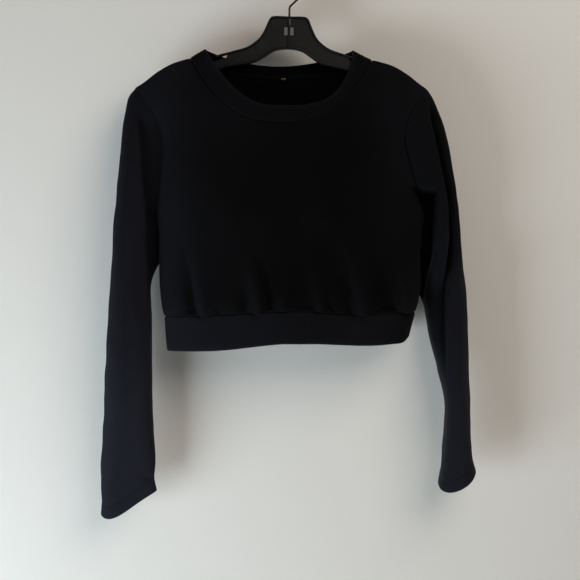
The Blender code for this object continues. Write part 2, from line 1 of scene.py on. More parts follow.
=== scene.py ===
"""Looks of a cropped crew-neck sweatshirt that hangs empty on a moulded hanger with a wire hook.

The garment is one skin, worked out from its seam lines and cross-sections. Each cut piece is a
sheet of fleece on that skin, with its creases laid on one by one, its edges rolled into the seams
and an inner face of its own. The hanger and its hook are modelled as moulded and bent parts.
Sizes are millimetres, and the finished meshes are in metres. +X is the viewer's right, +Y is
towards the back of the garment and +Z is up; left and right are the viewer's.
"""

import logging
import math
from contextlib import contextmanager
from dataclasses import dataclass, field
from enum import Enum
from typing import Callable, Iterator, NamedTuple, Sequence

import bmesh
import bpy
import numpy as np
from mathutils import Matrix, Vector, noise
from mathutils.kdtree import KDTree


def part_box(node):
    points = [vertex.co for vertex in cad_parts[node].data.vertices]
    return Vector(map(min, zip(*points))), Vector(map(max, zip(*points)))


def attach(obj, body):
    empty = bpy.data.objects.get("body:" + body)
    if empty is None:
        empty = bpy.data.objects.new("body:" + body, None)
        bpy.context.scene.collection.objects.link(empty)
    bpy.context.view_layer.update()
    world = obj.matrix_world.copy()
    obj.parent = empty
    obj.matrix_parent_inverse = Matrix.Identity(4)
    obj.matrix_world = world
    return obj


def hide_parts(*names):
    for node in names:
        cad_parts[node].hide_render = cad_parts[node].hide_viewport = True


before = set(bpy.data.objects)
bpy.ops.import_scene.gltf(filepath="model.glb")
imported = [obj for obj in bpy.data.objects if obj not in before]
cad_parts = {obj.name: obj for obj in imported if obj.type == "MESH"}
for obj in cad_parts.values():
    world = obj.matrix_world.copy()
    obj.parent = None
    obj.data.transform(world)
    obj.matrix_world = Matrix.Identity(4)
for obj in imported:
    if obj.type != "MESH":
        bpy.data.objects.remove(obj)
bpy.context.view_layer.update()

MM = 0.001
BODY = "root"

# Places of the first points beside a seam, which are closer together than elsewhere
SEAM_STEPS = np.array([0.0, 0.35, 0.8, 1.4, 2.2, 3.2])
# Places of the points across a groove
GROOVE_STEPS = np.array([-1.5, -0.75, 0.0, 0.75, 1.5])
# How much of the outer face's lightening the inner face of a sheet gets; the rest is painted shade inside
INNER_LIGHTENING = 0.4
# Points closer than this are one point, in metres
MERGED = 0.00001
# A face looks along an axis where its normal's part along it is above this
FACING = 0.9

log = logging.getLogger("sweatshirt")

Array = np.ndarray
Piece = bpy.types.Object
Material = bpy.types.Material
Socket = bpy.types.NodeSocket
Colour = tuple[float, float, float]
Triple = tuple[float, float, float]
Place = tuple[float, float]
Pair = tuple[float, float]


class Side(Enum):
    """A side of the garment, as the viewer sees it."""

    LEFT = "left"
    RIGHT = "right"


class Face(Enum):
    """The front or the back of the garment."""

    FRONT = "front"
    BACK = "back"


class Held(Enum):
    """How a sheet of cloth is held up."""

    HUNG = "hung"
    GATHERED = "gathered"


class Slot(Enum):
    """The record's material slots."""

    CLOTH = "cloth"
    TAPE = "tape"
    PLASTIC = "plastic"
    PAD = "pad"
    WIRE = "wire"


class Level(NamedTuple):
    """Body at one height: the two side seams, and how far front and back stand out."""

    z: float
    left: float
    right: float
    front: float
    back: float


class Ring(NamedTuple):
    """Sleeve ring: its outer and underarm lines, depths, front's lean, its dip and its sag.

    The dip lowers the front and raises the back; the sag lowers both beside the outer line.
    """

    outer_x: float
    outer_z: float
    inner_x: float
    inner_z: float
    inner_y: float
    front: float
    back: float
    lean: float
    dip: float
    sag: float = 0.0


class Edge(NamedTuple):
    """Height of a horizontal seam or hem at one place across the garment."""

    x: float
    z: float


class Crease(NamedTuple):
    """Soft ridge or trough from a foot to a tip, where it has faded out.

    The foot and the tip are places across the garment and up it. It bows sideways by bow at the
    middle, stands out by stand at the foot (a trough is negative), and its half-width goes from
    foot_wide to tip_wide. steep above 1 makes its right flank the steeper one.
    """

    foot: Place
    tip: Place
    bow: float
    stand: float
    foot_wide: float
    tip_wide: float
    steep: float = 1.0


class Seam(NamedTuple):
    """A line into which the cloth rolls: how deep the roll is, and how much lighter the rubbed cloth beside
    it is.
    """

    line: Array
    dip: float
    lightening: float = 0.0


class Fall(NamedTuple):
    """Line down the front of a sleeve past which its cloth falls back, as heights and places.

    The cloth past the line keeps a share of its depth and a share of its painted light, so that it
    is painted darker as if in shade, or paler as a painted highlight where that share is above 1,
    and it falls over a width. The fall opens between the first two heights and closes between the
    last two.
    """

    line: tuple[Place, ...]
    towards: int
    keeps: float
    wide: float
    opens: Pair
    closes: Pair
    light_kept: float = 1.0


def lerp(a: Array | float, b: Array | float, t: Array | float) -> Array | float:
    """The value a share t of the way from a to b."""
    return a + (b - a) * t


def smooth_step(t: Array | float) -> Array:
    """A share held between 0 and 1, with its ends eased."""
    t = np.clip(t, 0.0, 1.0)
    return t * t * (3 - 2 * t)


def through(keys: Sequence[float], values: Sequence[float], at: Array | float) -> Array:
    """Reads a smooth curve through values at rising keys.

    Args:
        keys: places of the values, rising.
        values: one value for each key.
        at: places to read, held within the keys.

    Returns:
        The curve's values there.
    """
    keys, values = np.asarray(keys, float), np.asarray(values, float)
    at = np.clip(at, keys[0], keys[-1])
    i = np.clip(np.searchsorted(keys, at, side="right") - 1, 0, len(keys) - 2)
    before, after = np.maximum(i - 1, 0), np.minimum(i + 2, len(keys) - 1)
    span = keys[i + 1] - keys[i]
    start = (values[i + 1] - values[before]) / (keys[i + 1] - keys[before]) * span
    end = (values[after] - values[i]) / (keys[after] - keys[i]) * span
    t = (at - keys[i]) / span
    return (
        (2 * t**3 - 3 * t**2 + 1) * values[i]
        + (t**3 - 2 * t**2 + t) * start
        + (3 * t**2 - 2 * t**3) * values[i + 1]
        + (t**3 - t**2) * end
    )


def along_edge(table: Sequence[Edge], x: Array) -> Array:
    """Height of a seam or hem at places across the garment."""
    return through([edge.x for edge in table], [edge.z for edge in table], x)


def spaced(length: float, pitch: float, first: bool = True, last: bool = True) -> Array:
    """Places along a length, evenly spaced but crowded towards the ends that are seams.

    Args:
        length: the whole length.
        pitch: the spacing away from the ends.
        first: whether the start is crowded.
        last: whether the end is.

    Returns:
        The places, from 0 to the length.
    """
    a, b = (SEAM_STEPS[-1] if first else 0.0), (SEAM_STEPS[-1] if last else 0.0)
    middle = np.linspace(a, length - b, max(2, round((length - a - b) / pitch) + 1))
    parts = [SEAM_STEPS[:-1]] * first + [middle] + [length - SEAM_STEPS[-2::-1]] * last
    return np.concatenate(parts)


def crowded(places: Array, lines: Sequence[float], least: float = 0.45) -> Array:
    """Adds places beside some lines, so that a groove there has its own points.

    Args:
        places: rising places.
        lines: where the grooves are.
        least: the closest that two places may be.

    Returns:
        The places with those beside the lines.
    """
    added = np.sort(np.concatenate([line + GROOVE_STEPS for line in lines]))
    kept = [place for place in places if np.min(np.abs(added - place)) > least]
    return np.sort(np.concatenate([kept, added]))


def creased(creases: Sequence[Crease], across: Array, along: Array) -> Array:
    """How far a set of creases lifts the cloth at each point.

    Args:
        creases: the ridges and troughs.
        across: the points' place across.
        along: their height.

    Returns:
        The lift at each point.
    """
    lift = np.zeros_like(across)
    for crease in creases:
        run = np.subtract(crease.tip, crease.foot)
        length = math.hypot(*run)
        away = across - crease.foot[0], along - crease.foot[1]
        t = (away[0] * run[0] + away[1] * run[1]) / length**2
        held = np.clip(t, 0, 1)
        side = (away[1] * run[0] - away[0] * run[1]) / length * math.copysign(1, -run[1])
        side = side - crease.bow * 4 * held * (1 - held)
        wide = lerp(crease.foot_wide, crease.tip_wide, held)
        wide = np.where(side > 0, wide / crease.steep, wide * crease.steep)
        past = np.minimum(t, 0) * length / crease.foot_wide
        lift += crease.stand * smooth_step(1 - t) * np.exp(-((side / wide) ** 2) - past**2)
    return lift


def evened(rings: Array, shares: Array) -> Array:
    """Reads closed rings of points again at the same shares of each ring's length.

    Args:
        rings: a grid with a ring in each row, whose last point is its first.
        shares: where each ring is read, from 0 to 1.

    Returns:
        The rings, with a point for each share.
    """
    steps = np.linalg.norm(np.diff(rings, axis=1), axis=-1)
    run = np.pad(np.cumsum(steps, axis=1), ((0, 0), (1, 0)))
    made = np.empty((len(rings), len(shares), 3))
    for row, ring, far in zip(made, rings, run):
        for axis in range(3):
            row[:, axis] = np.interp(shares * far[-1], far, ring[:, axis])
    return made


def wandering(points: Array, size: float, seed: float) -> Array:
    """A slow uneven swell over points, between about -0.5 and 0.5.

    Args:
        points: the points, in millimetres.
        size: how far apart its swells are.
        seed: makes one piece's swell unlike another's.

    Returns:
        The swell at each point.
    """
    flat = points.reshape(-1, 3) / size
    read = [noise.noise(Vector((x + seed, y, z - seed))) for x, y, z in flat]
    return np.array(read).reshape(points.shape[:-1])


BODY_LEVELS = (
    Level(-125, -191.0, 195.5, 0, 0),
    Level(-160, -191.0, 195.5, 10, 4),
    Level(-215, -191.0, 195.5, 22, 9),
    Level(-300, -191.0, 195.5, 34, 15),
    Level(-353.2, -191.4, 195.8, 40, 19),
    Level(-385, -188.6, 191.8, 43, 22),
    Level(-420, -188.2, 190.4, 46, 25),
    Level(-455, -187.2, 190.8, 49, 27),
    Level(-478, -185.0, 187.5, 51, 28),
    Level(-491, -183.0, 183.5, 47, 26),
    Level(-500, -180.0, 179.0, 36, 18),
)

WAIST_SEAM = {
    Face.FRONT: (
        Edge(-180, -500),
        Edge(-134, -499.5),
        Edge(-100, -498),
        Edge(-53, -495),
        Edge(-15, -493),
        Edge(34, -493),
        Edge(60, -495.5),
        Edge(88, -497.5),
        Edge(105, -496.5),
        Edge(124, -496.5),
        Edge(158, -495),
        Edge(178, -494),
    ),
    Face.BACK: (Edge(-180, -500), Edge(-60, -495), Edge(70, -496), Edge(178, -494)),
}
WAIST_HEM = {
    Face.FRONT: (
        Edge(-177, -550),
        Edge(-100, -548),
        Edge(0, -538),
        Edge(110, -541),
        Edge(150, -539),
        Edge(164, -537),
        Edge(175, -528),
    ),
    Face.BACK: (Edge(-177, -550), Edge(-60, -543), Edge(70, -541), Edge(175, -529)),
}

SLEEVE_RINGS = {
    Side.LEFT: (
        Ring(-221.9, -168.5, -191.4, -353.2, -2, 17, 22, 0, 0),
        Ring(-233.0, -186, -190.8, -369, 4, 27, 27, 3, 0),
        Ring(-239.0, -222, -190.0, -393, 11, 36, 31, 7, 0),
        Ring(-242.5, -290, -188.5, -414, 17, 42, 34, 9, 0),
        Ring(-248.9, -364.8, -197.8, -436, 16, 42, 35, 8, 0),
        Ring(-257.3, -454.7, -202.0, -463, 9, 38, 33, 4, 0),
        Ring(-262.0, -520, -199.8, -520, 4, 34, 30, 1, 0),
        Ring(-266.2, -585.2, -198.6, -585.2, 1, 29, 25, 0, 0),
        Ring(-269.6, -650, -197.8, -646, 0, 24, 21, 0, 0),
        Ring(-271.2, -725, -193.4, -704, 0, 17, 16, 0, 1, 2),
        Ring(-271.3, -769, -195.0, -734.6, 0, 12, 12, 0, 2, 9),
        Ring(-272.3, -786.5, -191.7, -752.7, 0, 11, 11, 0, 3, 10.5),
    ),
    Side.RIGHT: (
        Ring(200.1, -171.1, 195.8, -353.2, -2, 35, 24, 0, 0),
        Ring(211.5, -194, 194.0, -375, 3, 41, 28, 2, 0),
        Ring(224.2, -228, 190.0, -402, 10, 45, 32, 6, 0),
        Ring(236.0, -290, 187.5, -432, 17, 46, 35, 10, 0),
        Ring(245.5, -360, 187.5, -458, 19, 45, 37, 8, 0),
        Ring(253.0, -440, 197.5, -487, 14, 42, 38, 3, 0),
        Ring(257.6, -520, 204.2, -525, 6, 41, 38, 0, 0),
        Ring(260.8, -590, 219.2, -590, 2, 39, 36, -2, 0),
        Ring(261.9, -634, 225.6, -628, 0, 37, 34, -2, 2),
        Ring(263.0, -683, 223.8, -683, 0, 33, 31, 0, 7),
        Ring(266.8, -708, 220.0, -722, 0, 30, 28, 0, 13),
        Ring(270.4, -722, 216.5, -744, 0, 28, 27, 0, 16),
    ),
}

# How deep the armhole is cut, as a share of its inset, down its height
ARMHOLE_CUT = (
    (0.0, 0.0),
    (0.13, 0.53),
    (0.3, 0.92),
    (0.43, 1.0),
    (0.6, 0.76),
    (0.8, 0.41),
    (1.0, 0.0),
)

# Lines of the sleeves' long folds, as heights and places: where the left sleeve turns back beside
# the body, where the right one turns back on its outer side, the edge of its hollow beside the
# body, and the fold that goes on down it
LEFT_FALL = (
    (-200, -222),
    (-244, -219.5),
    (-288, -217),
    (-331, -213.8),
    (-367, -212),
    (-404, -211.2),
    (-442, -208),
)
RIGHT_FALL = (
    (-173, 195),
    (-204, 199),
    (-225, 203),
    (-244, 207.5),
    (-288, 216),
    (-331, 224),
    (-367, 225),
    (-404, 225.5),
    (-440, 222),
    (-476, 219),
    (-520, 219),
)
RIGHT_HOLLOW = (
    (-320, 214.5),
    (-345, 213.5),
    (-367, 212),
    (-395, 210),
    (-412, 207),
    (-440, 200.5),
    (-476, 196),
    (-530, 193),
)
RIGHT_FOLD = ((-418, 225.5), (-476, 225.2), (-563, 225.4), (-614, 226.0))
# A second fall on a line is wider than the first and goes on from it: a share above 1 brings the
# cloth part of the way back
# The last column is the share of the painted light kept past the line: below 1 it paints shade on the cloth
# that falls back, above 1 a painted highlight beside the fold
SLEEVE_FALLS = {
    Side.LEFT: (
        Fall(LEFT_FALL, 1, 0.5, 3.8, (-188, -244), (-440, -500), 0.8),
        Fall(LEFT_FALL, 1, 0.7, 5.5, (-250, -370), (-440, -500), 0.95),
    ),
    Side.RIGHT: (
        Fall(RIGHT_HOLLOW, -1, 0.08, 2.2, (-313, -325), (-480, -530), 0.5),
        Fall(RIGHT_FALL, 1, 0.16, 3.0, (-178, -225), (-410, -490), 0.5),
        Fall(RIGHT_FALL, 1, 2.8, 12.0, (-190, -240), (-410, -490), 2.2),
        Fall(RIGHT_FOLD, -1, 0.6, 2.0, (-418, -480), (-530, -600), 0.12),
        Fall(RIGHT_FOLD, -1, 1.2, 18.0, (-418, -480), (-530, -600), 4.5),
    ),
}

PANEL_CREASES = {
    Face.FRONT: (
        Crease((-136, -498), (-157, -364), 1, -10.5, 8, 13, 1.6),
        Crease((-120, -498), (-143, -360), 1, 6.8, 8.5, 15, 0.8),
        Crease((-99, -498), (-99, -484), 0, -3.4, 3, 5, 1.0),
        Crease((-80, -497), (-84, -452), 0, 2.6, 9, 13, 1.0),
        Crease((-60, -496), (-60, -448), 0, -5.0, 4, 7, 1.8),
        Crease((-43, -496), (-66, -400), 3, 8.5, 9, 15, 0.85),
        Crease((-27, -495), (-47, -398), 4, -8.5, 5.5, 9, 1.0),
        Crease((-9, -494), (-12, -456), 0, 5.4, 7, 11, 0.8),
        Crease((31, -493), (18, -415), 0, -7.4, 11, 15, 1.8),
        Crease((45, -494), (36, -430), 0, 5.0, 8, 13, 0.8),
        Crease((64, -497), (53, -462), 0, -6.2, 4, 8, 1.7),
        Crease((87, -500), (90, -455), 0, -8.5, 4, 6, 1.9),
        Crease((87, -462), (68, -392), 2, -6.5, 6, 12, 1.8),
        Crease((103, -496), (64, -372), 4, 7.0, 10, 20, 0.8),
        Crease((133, -496), (136, -405), 0, -8.0, 11, 15, 1.0),
        Crease((152, -497), (139, -452), 0, -9.5, 6, 10, 1.8),
        Crease((167, -495), (160, -412), 0, 6.5, 8, 13, 0.8),
        Crease((42, -360), (-28, -245), 8, 2.2, 22, 30),
        Crease((-62, -330), (-112, -235), -6, -2.0, 20, 30),
    ),
    Face.BACK: (
        Crease((144, -497), (156, -410), 0, -5.0, 7, 12, 1.2),
        Crease((122, -498), (128, -400), 0, 5.4, 9, 15),
        Crease((101, -497), (96, -420), 0, -5.4, 6, 11, 1.3),
        Crease((70, -496), (75, -440), 0, 4.0, 9, 12),
        Crease((46, -496), (52, -410), 0, -5.6, 7, 12, 0.8),
        Crease((4, -495), (-2, -405), 0, 5.8, 10, 16),
        Crease((-22, -495), (-30, -436), 0, -4.6, 6, 11, 1.4),
        Crease((-58, -495), (-50, -425), 0, 4.8, 10, 14),
        Crease((-84, -497), (-98, -400), 0, -5.8, 7, 13, 1.2),
        Crease((-128, -499), (-140, -410), 0, 4.8, 10, 14),
        Crease((-152, -500), (-158, -440), 0, -4.0, 7, 10),
        Crease((-30, -300), (60, -190), 10, 2.4, 24, 34),
        Crease((70, -330), (120, -215), -8, -2.2, 20, 30),
    ),
}

SLEEVE_CREASES = {
    (Side.LEFT, Face.FRONT): (
        Crease((-206, -470), (-240, -590), 5, -2.4, 9, 14),
        Crease((-262, -520), (-226, -600), -4, 1.8, 10, 14),
        Crease((-202, -640), (-244, -700), 3, -1.6, 7, 11, 1.3),
        Crease((-262, -745), (-238, -690), 2, 1.3, 8, 10),
        Crease((-201, -735), (-226, -716), 0, -1.4, 4, 8),
    ),
    (Side.LEFT, Face.BACK): (
        Crease((-206, -440), (-246, -350), 4, -2.6, 9, 14),
        Crease((-204, -500), (-250, -560), 4, 2.2, 9, 13),
        Crease((-256, -640), (-214, -590), -3, -1.8, 8, 12),
        Crease((-206, -700), (-244, -660), 2, 1.5, 7, 10),
    ),
    (Side.RIGHT, Face.FRONT): (
        Crease((216, -556), (246, -500), 3, -2.2, 6, 10, 1.3),
        Crease((228, -610), (252, -560), 2, 1.7, 7, 10),
        Crease((226, -654), (256, -636), 0, -1.5, 5, 8),
        Crease((222, -716), (244, -690), 2, -1.9, 5, 8, 1.4),
        Crease((262, -712), (246, -672), 0, 1.5, 7, 9),
    ),
    (Side.RIGHT, Face.BACK): (
        Crease((200, -430), (238, -340), 4, -2.6, 9, 14),
        Crease((206, -520), (248, -470), 4, 2.2, 9, 13),
        Crease((222, -600), (254, -560), 2, -1.9, 7, 11),
        Crease((226, -690), (258, -650), 2, 1.6, 7, 10),
    ),
}


class Recipe:
    """A node material being put together."""

    def __init__(self, name: str) -> None:
        """Starts a material.

        Args:
            name: its name.
        """
        self.made = bpy.data.materials.new(name)
        self.made.use_nodes = True
        self.tree = self.made.node_tree
        self.shader = self.tree.nodes["Principled BSDF"]

    def feed(self, socket: Socket, value: object) -> None:
        """Links a socket to another one, or sets its constant.

        Args:
            socket: the input.
            value: an output socket, or a constant.
        """
        if isinstance(value, Socket):
            self.tree.links.new(value, socket)
        else:
            socket.default_value = value

    def add(self, kind: str, inputs: dict, out: str | int = 0, **settings: object) -> Socket:
        """Adds a node.

        Args:
            kind: the node's type, without its prefix.
            inputs: what feeds its sockets, by name or number.
            out: the output that is wanted.
            settings: the node's own choices.

        Returns:
            The output socket.
        """
        node = self.tree.nodes.new(f"ShaderNode{kind}")
        for name, value in settings.items():
            setattr(node, name, value)
        for key, value in inputs.items():
            self.feed(node.inputs[key], value)
        return node.outputs[out]

    def maths(self, operation: str, a: object, b: object = 0.0) -> Socket:
        """A sum on one or two values."""
        return self.add("Math", {0: a, 1: b}, operation=operation)

    def spot(self) -> Socket:
        """Places on the piece, in metres."""
        return self.add("TexCoord", {}, "Object")

    def stretched(self, scale: Triple) -> Socket:
        """Places on the piece, with each axis scaled."""
        return self.add("Mapping", {"Vector": self.spot(), "Scale": scale})

    def measure(self) -> tuple[Socket, Socket]:
        """Measures the cloth by its UV map.

        Returns:
            Metres across and up the piece.
        """
        node = self.tree.nodes.new("ShaderNodeSeparateXYZ")
        self.feed(node.inputs[0], self.add("TexCoord", {}, "UV"))
        return node.outputs[0], node.outputs[1]

    def noted(self, name: str) -> Socket:
        """A value kept on the piece's points."""
        return self.add("Attribute", {}, "Fac", attribute_name=name)

    def clouds(self, where: Socket, scale: float, detail: float = 2.0) -> Socket:
        """Even noise of a scale."""
        return self.add("TexNoise", {"Vector": where, "Scale": scale, "Detail": detail})

    def spread(self, value: object, low: float, high: float, at_low: float, at_high: float) -> Socket:
        """Spreads a value's range over another one, and holds it there."""
        inputs = {0: value, 1: low, 2: high, 3: at_low, 4: at_high}
        return self.add("MapRange", inputs, interpolation_type="SMOOTHSTEP")

    def varied(self, clouds: Socket, low: float, high: float) -> Socket:
        """Turns even noise into a value between two ends."""
        return self.spread(clouds, 0.3, 0.7, low, high)

    def mixed(self, share: object, a: object, b: object) -> Socket:
        """A colour a share of the way from one to another."""
        a, b = ((*c, 1.0) if isinstance(c, tuple) else c for c in (a, b))
        return self.add("Mix", {0: share, 6: a, 7: b}, 2, data_type="RGBA")

    def bump(self, height: object, depth: float) -> None:
        """Gives the surface a relief of a height from 0 to 1 and a depth in millimetres."""
        self.feed(self.shader.inputs["Normal"], self.add("Bump", {"Height": height, "Distance": depth * MM}))

    def constants(self, **values: float | tuple) -> None:
        """Sets constants on the shader's own sockets, named with underscores for spaces."""
        for name, value in values.items():
            self.shader.inputs[name.replace("_", " ")].default_value = value


class Specks(NamedTuple):
    """Scattered specks: cells to a metre, how much of a cell one fills, and how many cells lack one."""

    scale: float
    size: float
    rarity: float


@dataclass(frozen=True)
class FleeceJersey:
    """Black sweatshirt fleece: a plain jersey face and a brushed back, pilled and linty, with painted light
    and shade.
    """

    colour: Colour = (0.0017, 0.0015, 0.0015)
    # Painted light: the lighter, bluer colour where light falls on the cloth, which rubbing at folds and
    # seams also reaches
    faded_and_lit: Colour = (0.0153, 0.0163, 0.0232)
    lint: Colour = (0.045, 0.045, 0.044)
    # Painted shade: the near-black colour of the inner face, which is in shade inside the garment
    inner: Colour = (0.0003, 0.0003, 0.0003)
    wale: float = 1.1
    course: float = 0.82
    slant: float = 1.3
    relief: float = 0.22
    nap_scale: float = 2600.0
    fuzz_scale: float = 750.0
    patch_scale: float = 8.0
    pilling: Specks = Specks(190.0, 0.2, 0.66)
    linting: Specks = Specks(52.0, 0.022, 0.55)
    knit_high: float = 0.55
    nap_high: float = 0.3
    fuzz_high: float = 0.45
    fuzz_lightening: Pair = (0.6, 1.0)
    pill_high: float = 0.5
    patch_fade: float = 0.045
    pill_fade: float = 0.05
    lint_share: float = 0.8
    inside_shade_share: float = 0.9
    roughness: Pair = (0.82, 0.98)

    def stitches(self, recipe: Recipe) -> Socket:
        """Relief of the knit: columns of slanted legs, two to a stitch.

        Args:
            recipe: the material that is being made.

        Returns:
            The relief, from 0 to 1.
        """
        u, v = recipe.measure()
        column = recipe.maths("FRACT", recipe.maths("DIVIDE", u, self.wale * MM))
        off = recipe.maths("ABSOLUTE", recipe.maths("SUBTRACT", column, 0.5))
        leg = recipe.maths("SINE", recipe.maths("MULTIPLY", off, 2 * math.pi))
        courses = recipe.maths("DIVIDE", v, self.course * MM)
        slanted = recipe.maths("ADD", courses, recipe.maths("MULTIPLY", off, self.slant))
        loop = recipe.maths("SINE", recipe.maths("MULTIPLY", slanted, 2 * math.pi))
        loop = recipe.spread(loop, -1.0, 1.0, 0.45, 1.0)
        return recipe.maths("MULTIPLY", recipe.maths("MAXIMUM", leg, 0.0), loop)

    def speckled(self, recipe: Recipe, specks: Specks) -> Socket:
        """Scatters specks over the cloth.

        Args:
            recipe: the material that is being made.
            specks: their number, size and rarity.

        Returns:
            A value that is 1 at their middles and 0 between them.
        """
        cells = recipe.tree.nodes.new("ShaderNodeTexVoronoi")
        recipe.feed(cells.inputs["Vector"], recipe.spot())
        cells.inputs["Scale"].default_value = specks.scale
        speck = recipe.spread(cells.outputs["Distance"], 0.0, specks.size, 1.0, 0.0)
        chosen = recipe.maths("GREATER_THAN", cells.outputs["Color"], specks.rarity)
        return recipe.maths("MULTIPLY", speck, chosen)

    def material(self) -> Material:
        """Makes the finish.

        Returns:
            The node material.
        """
        recipe = Recipe("black_fleece")
        spot, inside = recipe.spot(), recipe.noted("inside")
        nap = recipe.clouds(spot, self.nap_scale, 3.0)
        fuzz = recipe.clouds(spot, self.fuzz_scale, 3.0)
        patches = recipe.clouds(spot, self.patch_scale, 5.0)
        pills = self.speckled(recipe, self.pilling)
        lint = self.speckled(recipe, self.linting)
        outside = recipe.maths("SUBTRACT", 1.0, inside)
        height = recipe.maths("MULTIPLY", outside, self.knit_high)
        height = recipe.maths("MULTIPLY", self.stitches(recipe), height)
        for relief, high in ((nap, self.nap_high), (fuzz, self.fuzz_high), (pills, self.pill_high)):
            height = recipe.maths("ADD", height, recipe.maths("MULTIPLY", relief, high))
        recipe.bump(height, self.relief)
        # Painted light: the cloth is mixed towards the lighter colour by the points' lightening, varied by
        # the fuzz, with random patches and pills
        lightened = recipe.maths("MULTIPLY", recipe.noted("lightening"), recipe.varied(fuzz, *self.fuzz_lightening))
        lightened = recipe.maths("ADD", lightened, recipe.spread(patches, 0.35, 0.7, 0.0, self.patch_fade))
        lightened = recipe.maths("ADD", lightened, recipe.maths("MULTIPLY", pills, self.pill_fade))
        colour = recipe.mixed(recipe.maths("MINIMUM", lightened, 1.0), self.colour, self.faded_and_lit)
        colour = recipe.mixed(recipe.maths("MULTIPLY", lint, self.lint_share), colour, self.lint)
        # Painted shade: the inner face is painted darker
        colour = recipe.mixed(recipe.maths("MULTIPLY", inside, self.inside_shade_share), colour, self.inner)
        recipe.feed(recipe.shader.inputs["Base Color"], colour)
        recipe.feed(recipe.shader.inputs["Roughness"], recipe.varied(fuzz, *self.roughness))
        recipe.constants(Specular_IOR_Level=0.05, Sheen_Weight=0.016, Sheen_Roughness=0.45)
        recipe.constants(Sheen_Tint=(0.86, 0.93, 1.0, 1.0))
        return recipe.made


@dataclass(frozen=True)
class SewingThread:
    """Black spun polyester thread, a little smoother than the cloth."""

    colour: Colour = (0.004, 0.004, 0.005)
    light: Colour = (0.009, 0.009, 0.011)
    roughness: Pair = (0.5, 0.7)
    twist_scale: float = 2400.0
    relief: float = 0.05

    def material(self) -> Material:
        """Makes the finish.

        Returns:
            The node material.
        """
        recipe = Recipe("black_thread")
        plies = recipe.clouds(recipe.stretched((1.0, 1.0, 3.0)), self.twist_scale)
        recipe.bump(plies, self.relief)
        recipe.feed(recipe.shader.inputs["Base Color"], recipe.mixed(plies, self.colour, self.light))
        recipe.feed(recipe.shader.inputs["Roughness"], recipe.varied(plies, *self.roughness))
        recipe.constants(Specular_IOR_Level=0.12)
        return recipe.made


@dataclass(frozen=True)
class MouldedPlastic:
    """Satin moulded plastic with a fine grain, flow lines and faint rubs."""

    name: str
    colour: Colour
    rubbed: Colour
    roughness: Pair = (0.37, 0.48)
    grain_scale: float = 1700.0
    flow: Triple = (14.0, 60.0, 160.0)
    flow_high: float = 0.6
    rub_scale: float = 38.0
    rub_dull: float = 0.14
    relief: float = 0.05

    def material(self) -> Material:
        """Makes the finish.

        Returns:
            The node material.
        """
        recipe = Recipe(self.name)
        spot = recipe.spot()
        grain = recipe.clouds(spot, self.grain_scale, 2.0)
        flow = recipe.clouds(recipe.stretched(self.flow), 1.0, 3.0)
        rubs = recipe.spread(recipe.clouds(spot, self.rub_scale, 6.0), 0.52, 0.74, 0.0, 1.0)
        recipe.bump(recipe.maths("ADD", grain, recipe.maths("MULTIPLY", flow, self.flow_high)), self.relief)
        share = recipe.maths("MULTIPLY", rubs, recipe.spread(flow, 0.35, 0.65, 0.25, 0.9))
        colour = self.toned(recipe, recipe.mixed(share, self.colour, self.rubbed))
        recipe.feed(recipe.shader.inputs["Base Color"], colour)
        dull = recipe.maths("MULTIPLY", rubs, self.rub_dull)
        rough = recipe.varied(flow, *self.roughness)
        recipe.feed(recipe.shader.inputs["Roughness"], recipe.maths("ADD", rough, dull))
        recipe.constants(Specular_IOR_Level=0.22)
        return recipe.made

    def toned(self, recipe: Recipe, colour: Socket) -> Socket:
        """The plastic's colour, which is the same all over a plain moulding."""
        return colour


@dataclass(frozen=True)
class HangerPlastic(MouldedPlastic):
    """Black plastic with painted shade on the flange and a painted highlight on the socket's ridges.

    The flange, painted darker as if in shade, is what stands out past flange_depth. The ridges,
    painted paler as a highlight, are what stands out past ridge_depth within a half-width and a
    half-height of their middle.
    """

    # Painted shade on the flange
    flange: Colour = (0.0012, 0.0011, 0.0011)
    flange_depth: float = 3.5
    # Painted highlight on the socket's ridges
    ridge: Colour = (0.06, 0.06, 0.06)
    ridge_depth: float = 1.7
    ridge_middle: Place = (1.8, -89.3)
    ridge_half: Pair = (1.3, 20.0)
    blur: float = 0.25

    def toned(self, recipe: Recipe, colour: Socket) -> Socket:
        """The plastic's colour with painted shade on its flange and a painted highlight on its ridges.

        Args:
            recipe: the material that is being made.
            colour: the colour of the rest of the moulding.

        Returns:
            The colour's socket.
        """
        x, y, z = (recipe.add("SeparateXYZ", {"Vector": recipe.spot()}, axis) for axis in range(3))
        deep = recipe.maths("ABSOLUTE", y)
        flange = self.past(recipe, deep, self.flange_depth)
        ridge = self.past(recipe, deep, self.ridge_depth)
        for along, middle, half in zip((x, z), self.ridge_middle, self.ridge_half):
            off = recipe.maths("ABSOLUTE", recipe.maths("SUBTRACT", along, middle * MM))
            within = recipe.maths("SUBTRACT", 1.0, self.past(recipe, off, half))
            ridge = recipe.maths("MULTIPLY", ridge, within)
        return recipe.mixed(ridge, recipe.mixed(flange, colour, self.flange), self.ridge)

    def past(self, recipe: Recipe, value: Socket, limit: float) -> Socket:
        """A socket that is 1 where a length is past a limit, with a soft edge."""
        return recipe.spread(value, (limit - self.blur) * MM, (limit + self.blur) * MM, 0.0, 1.0)


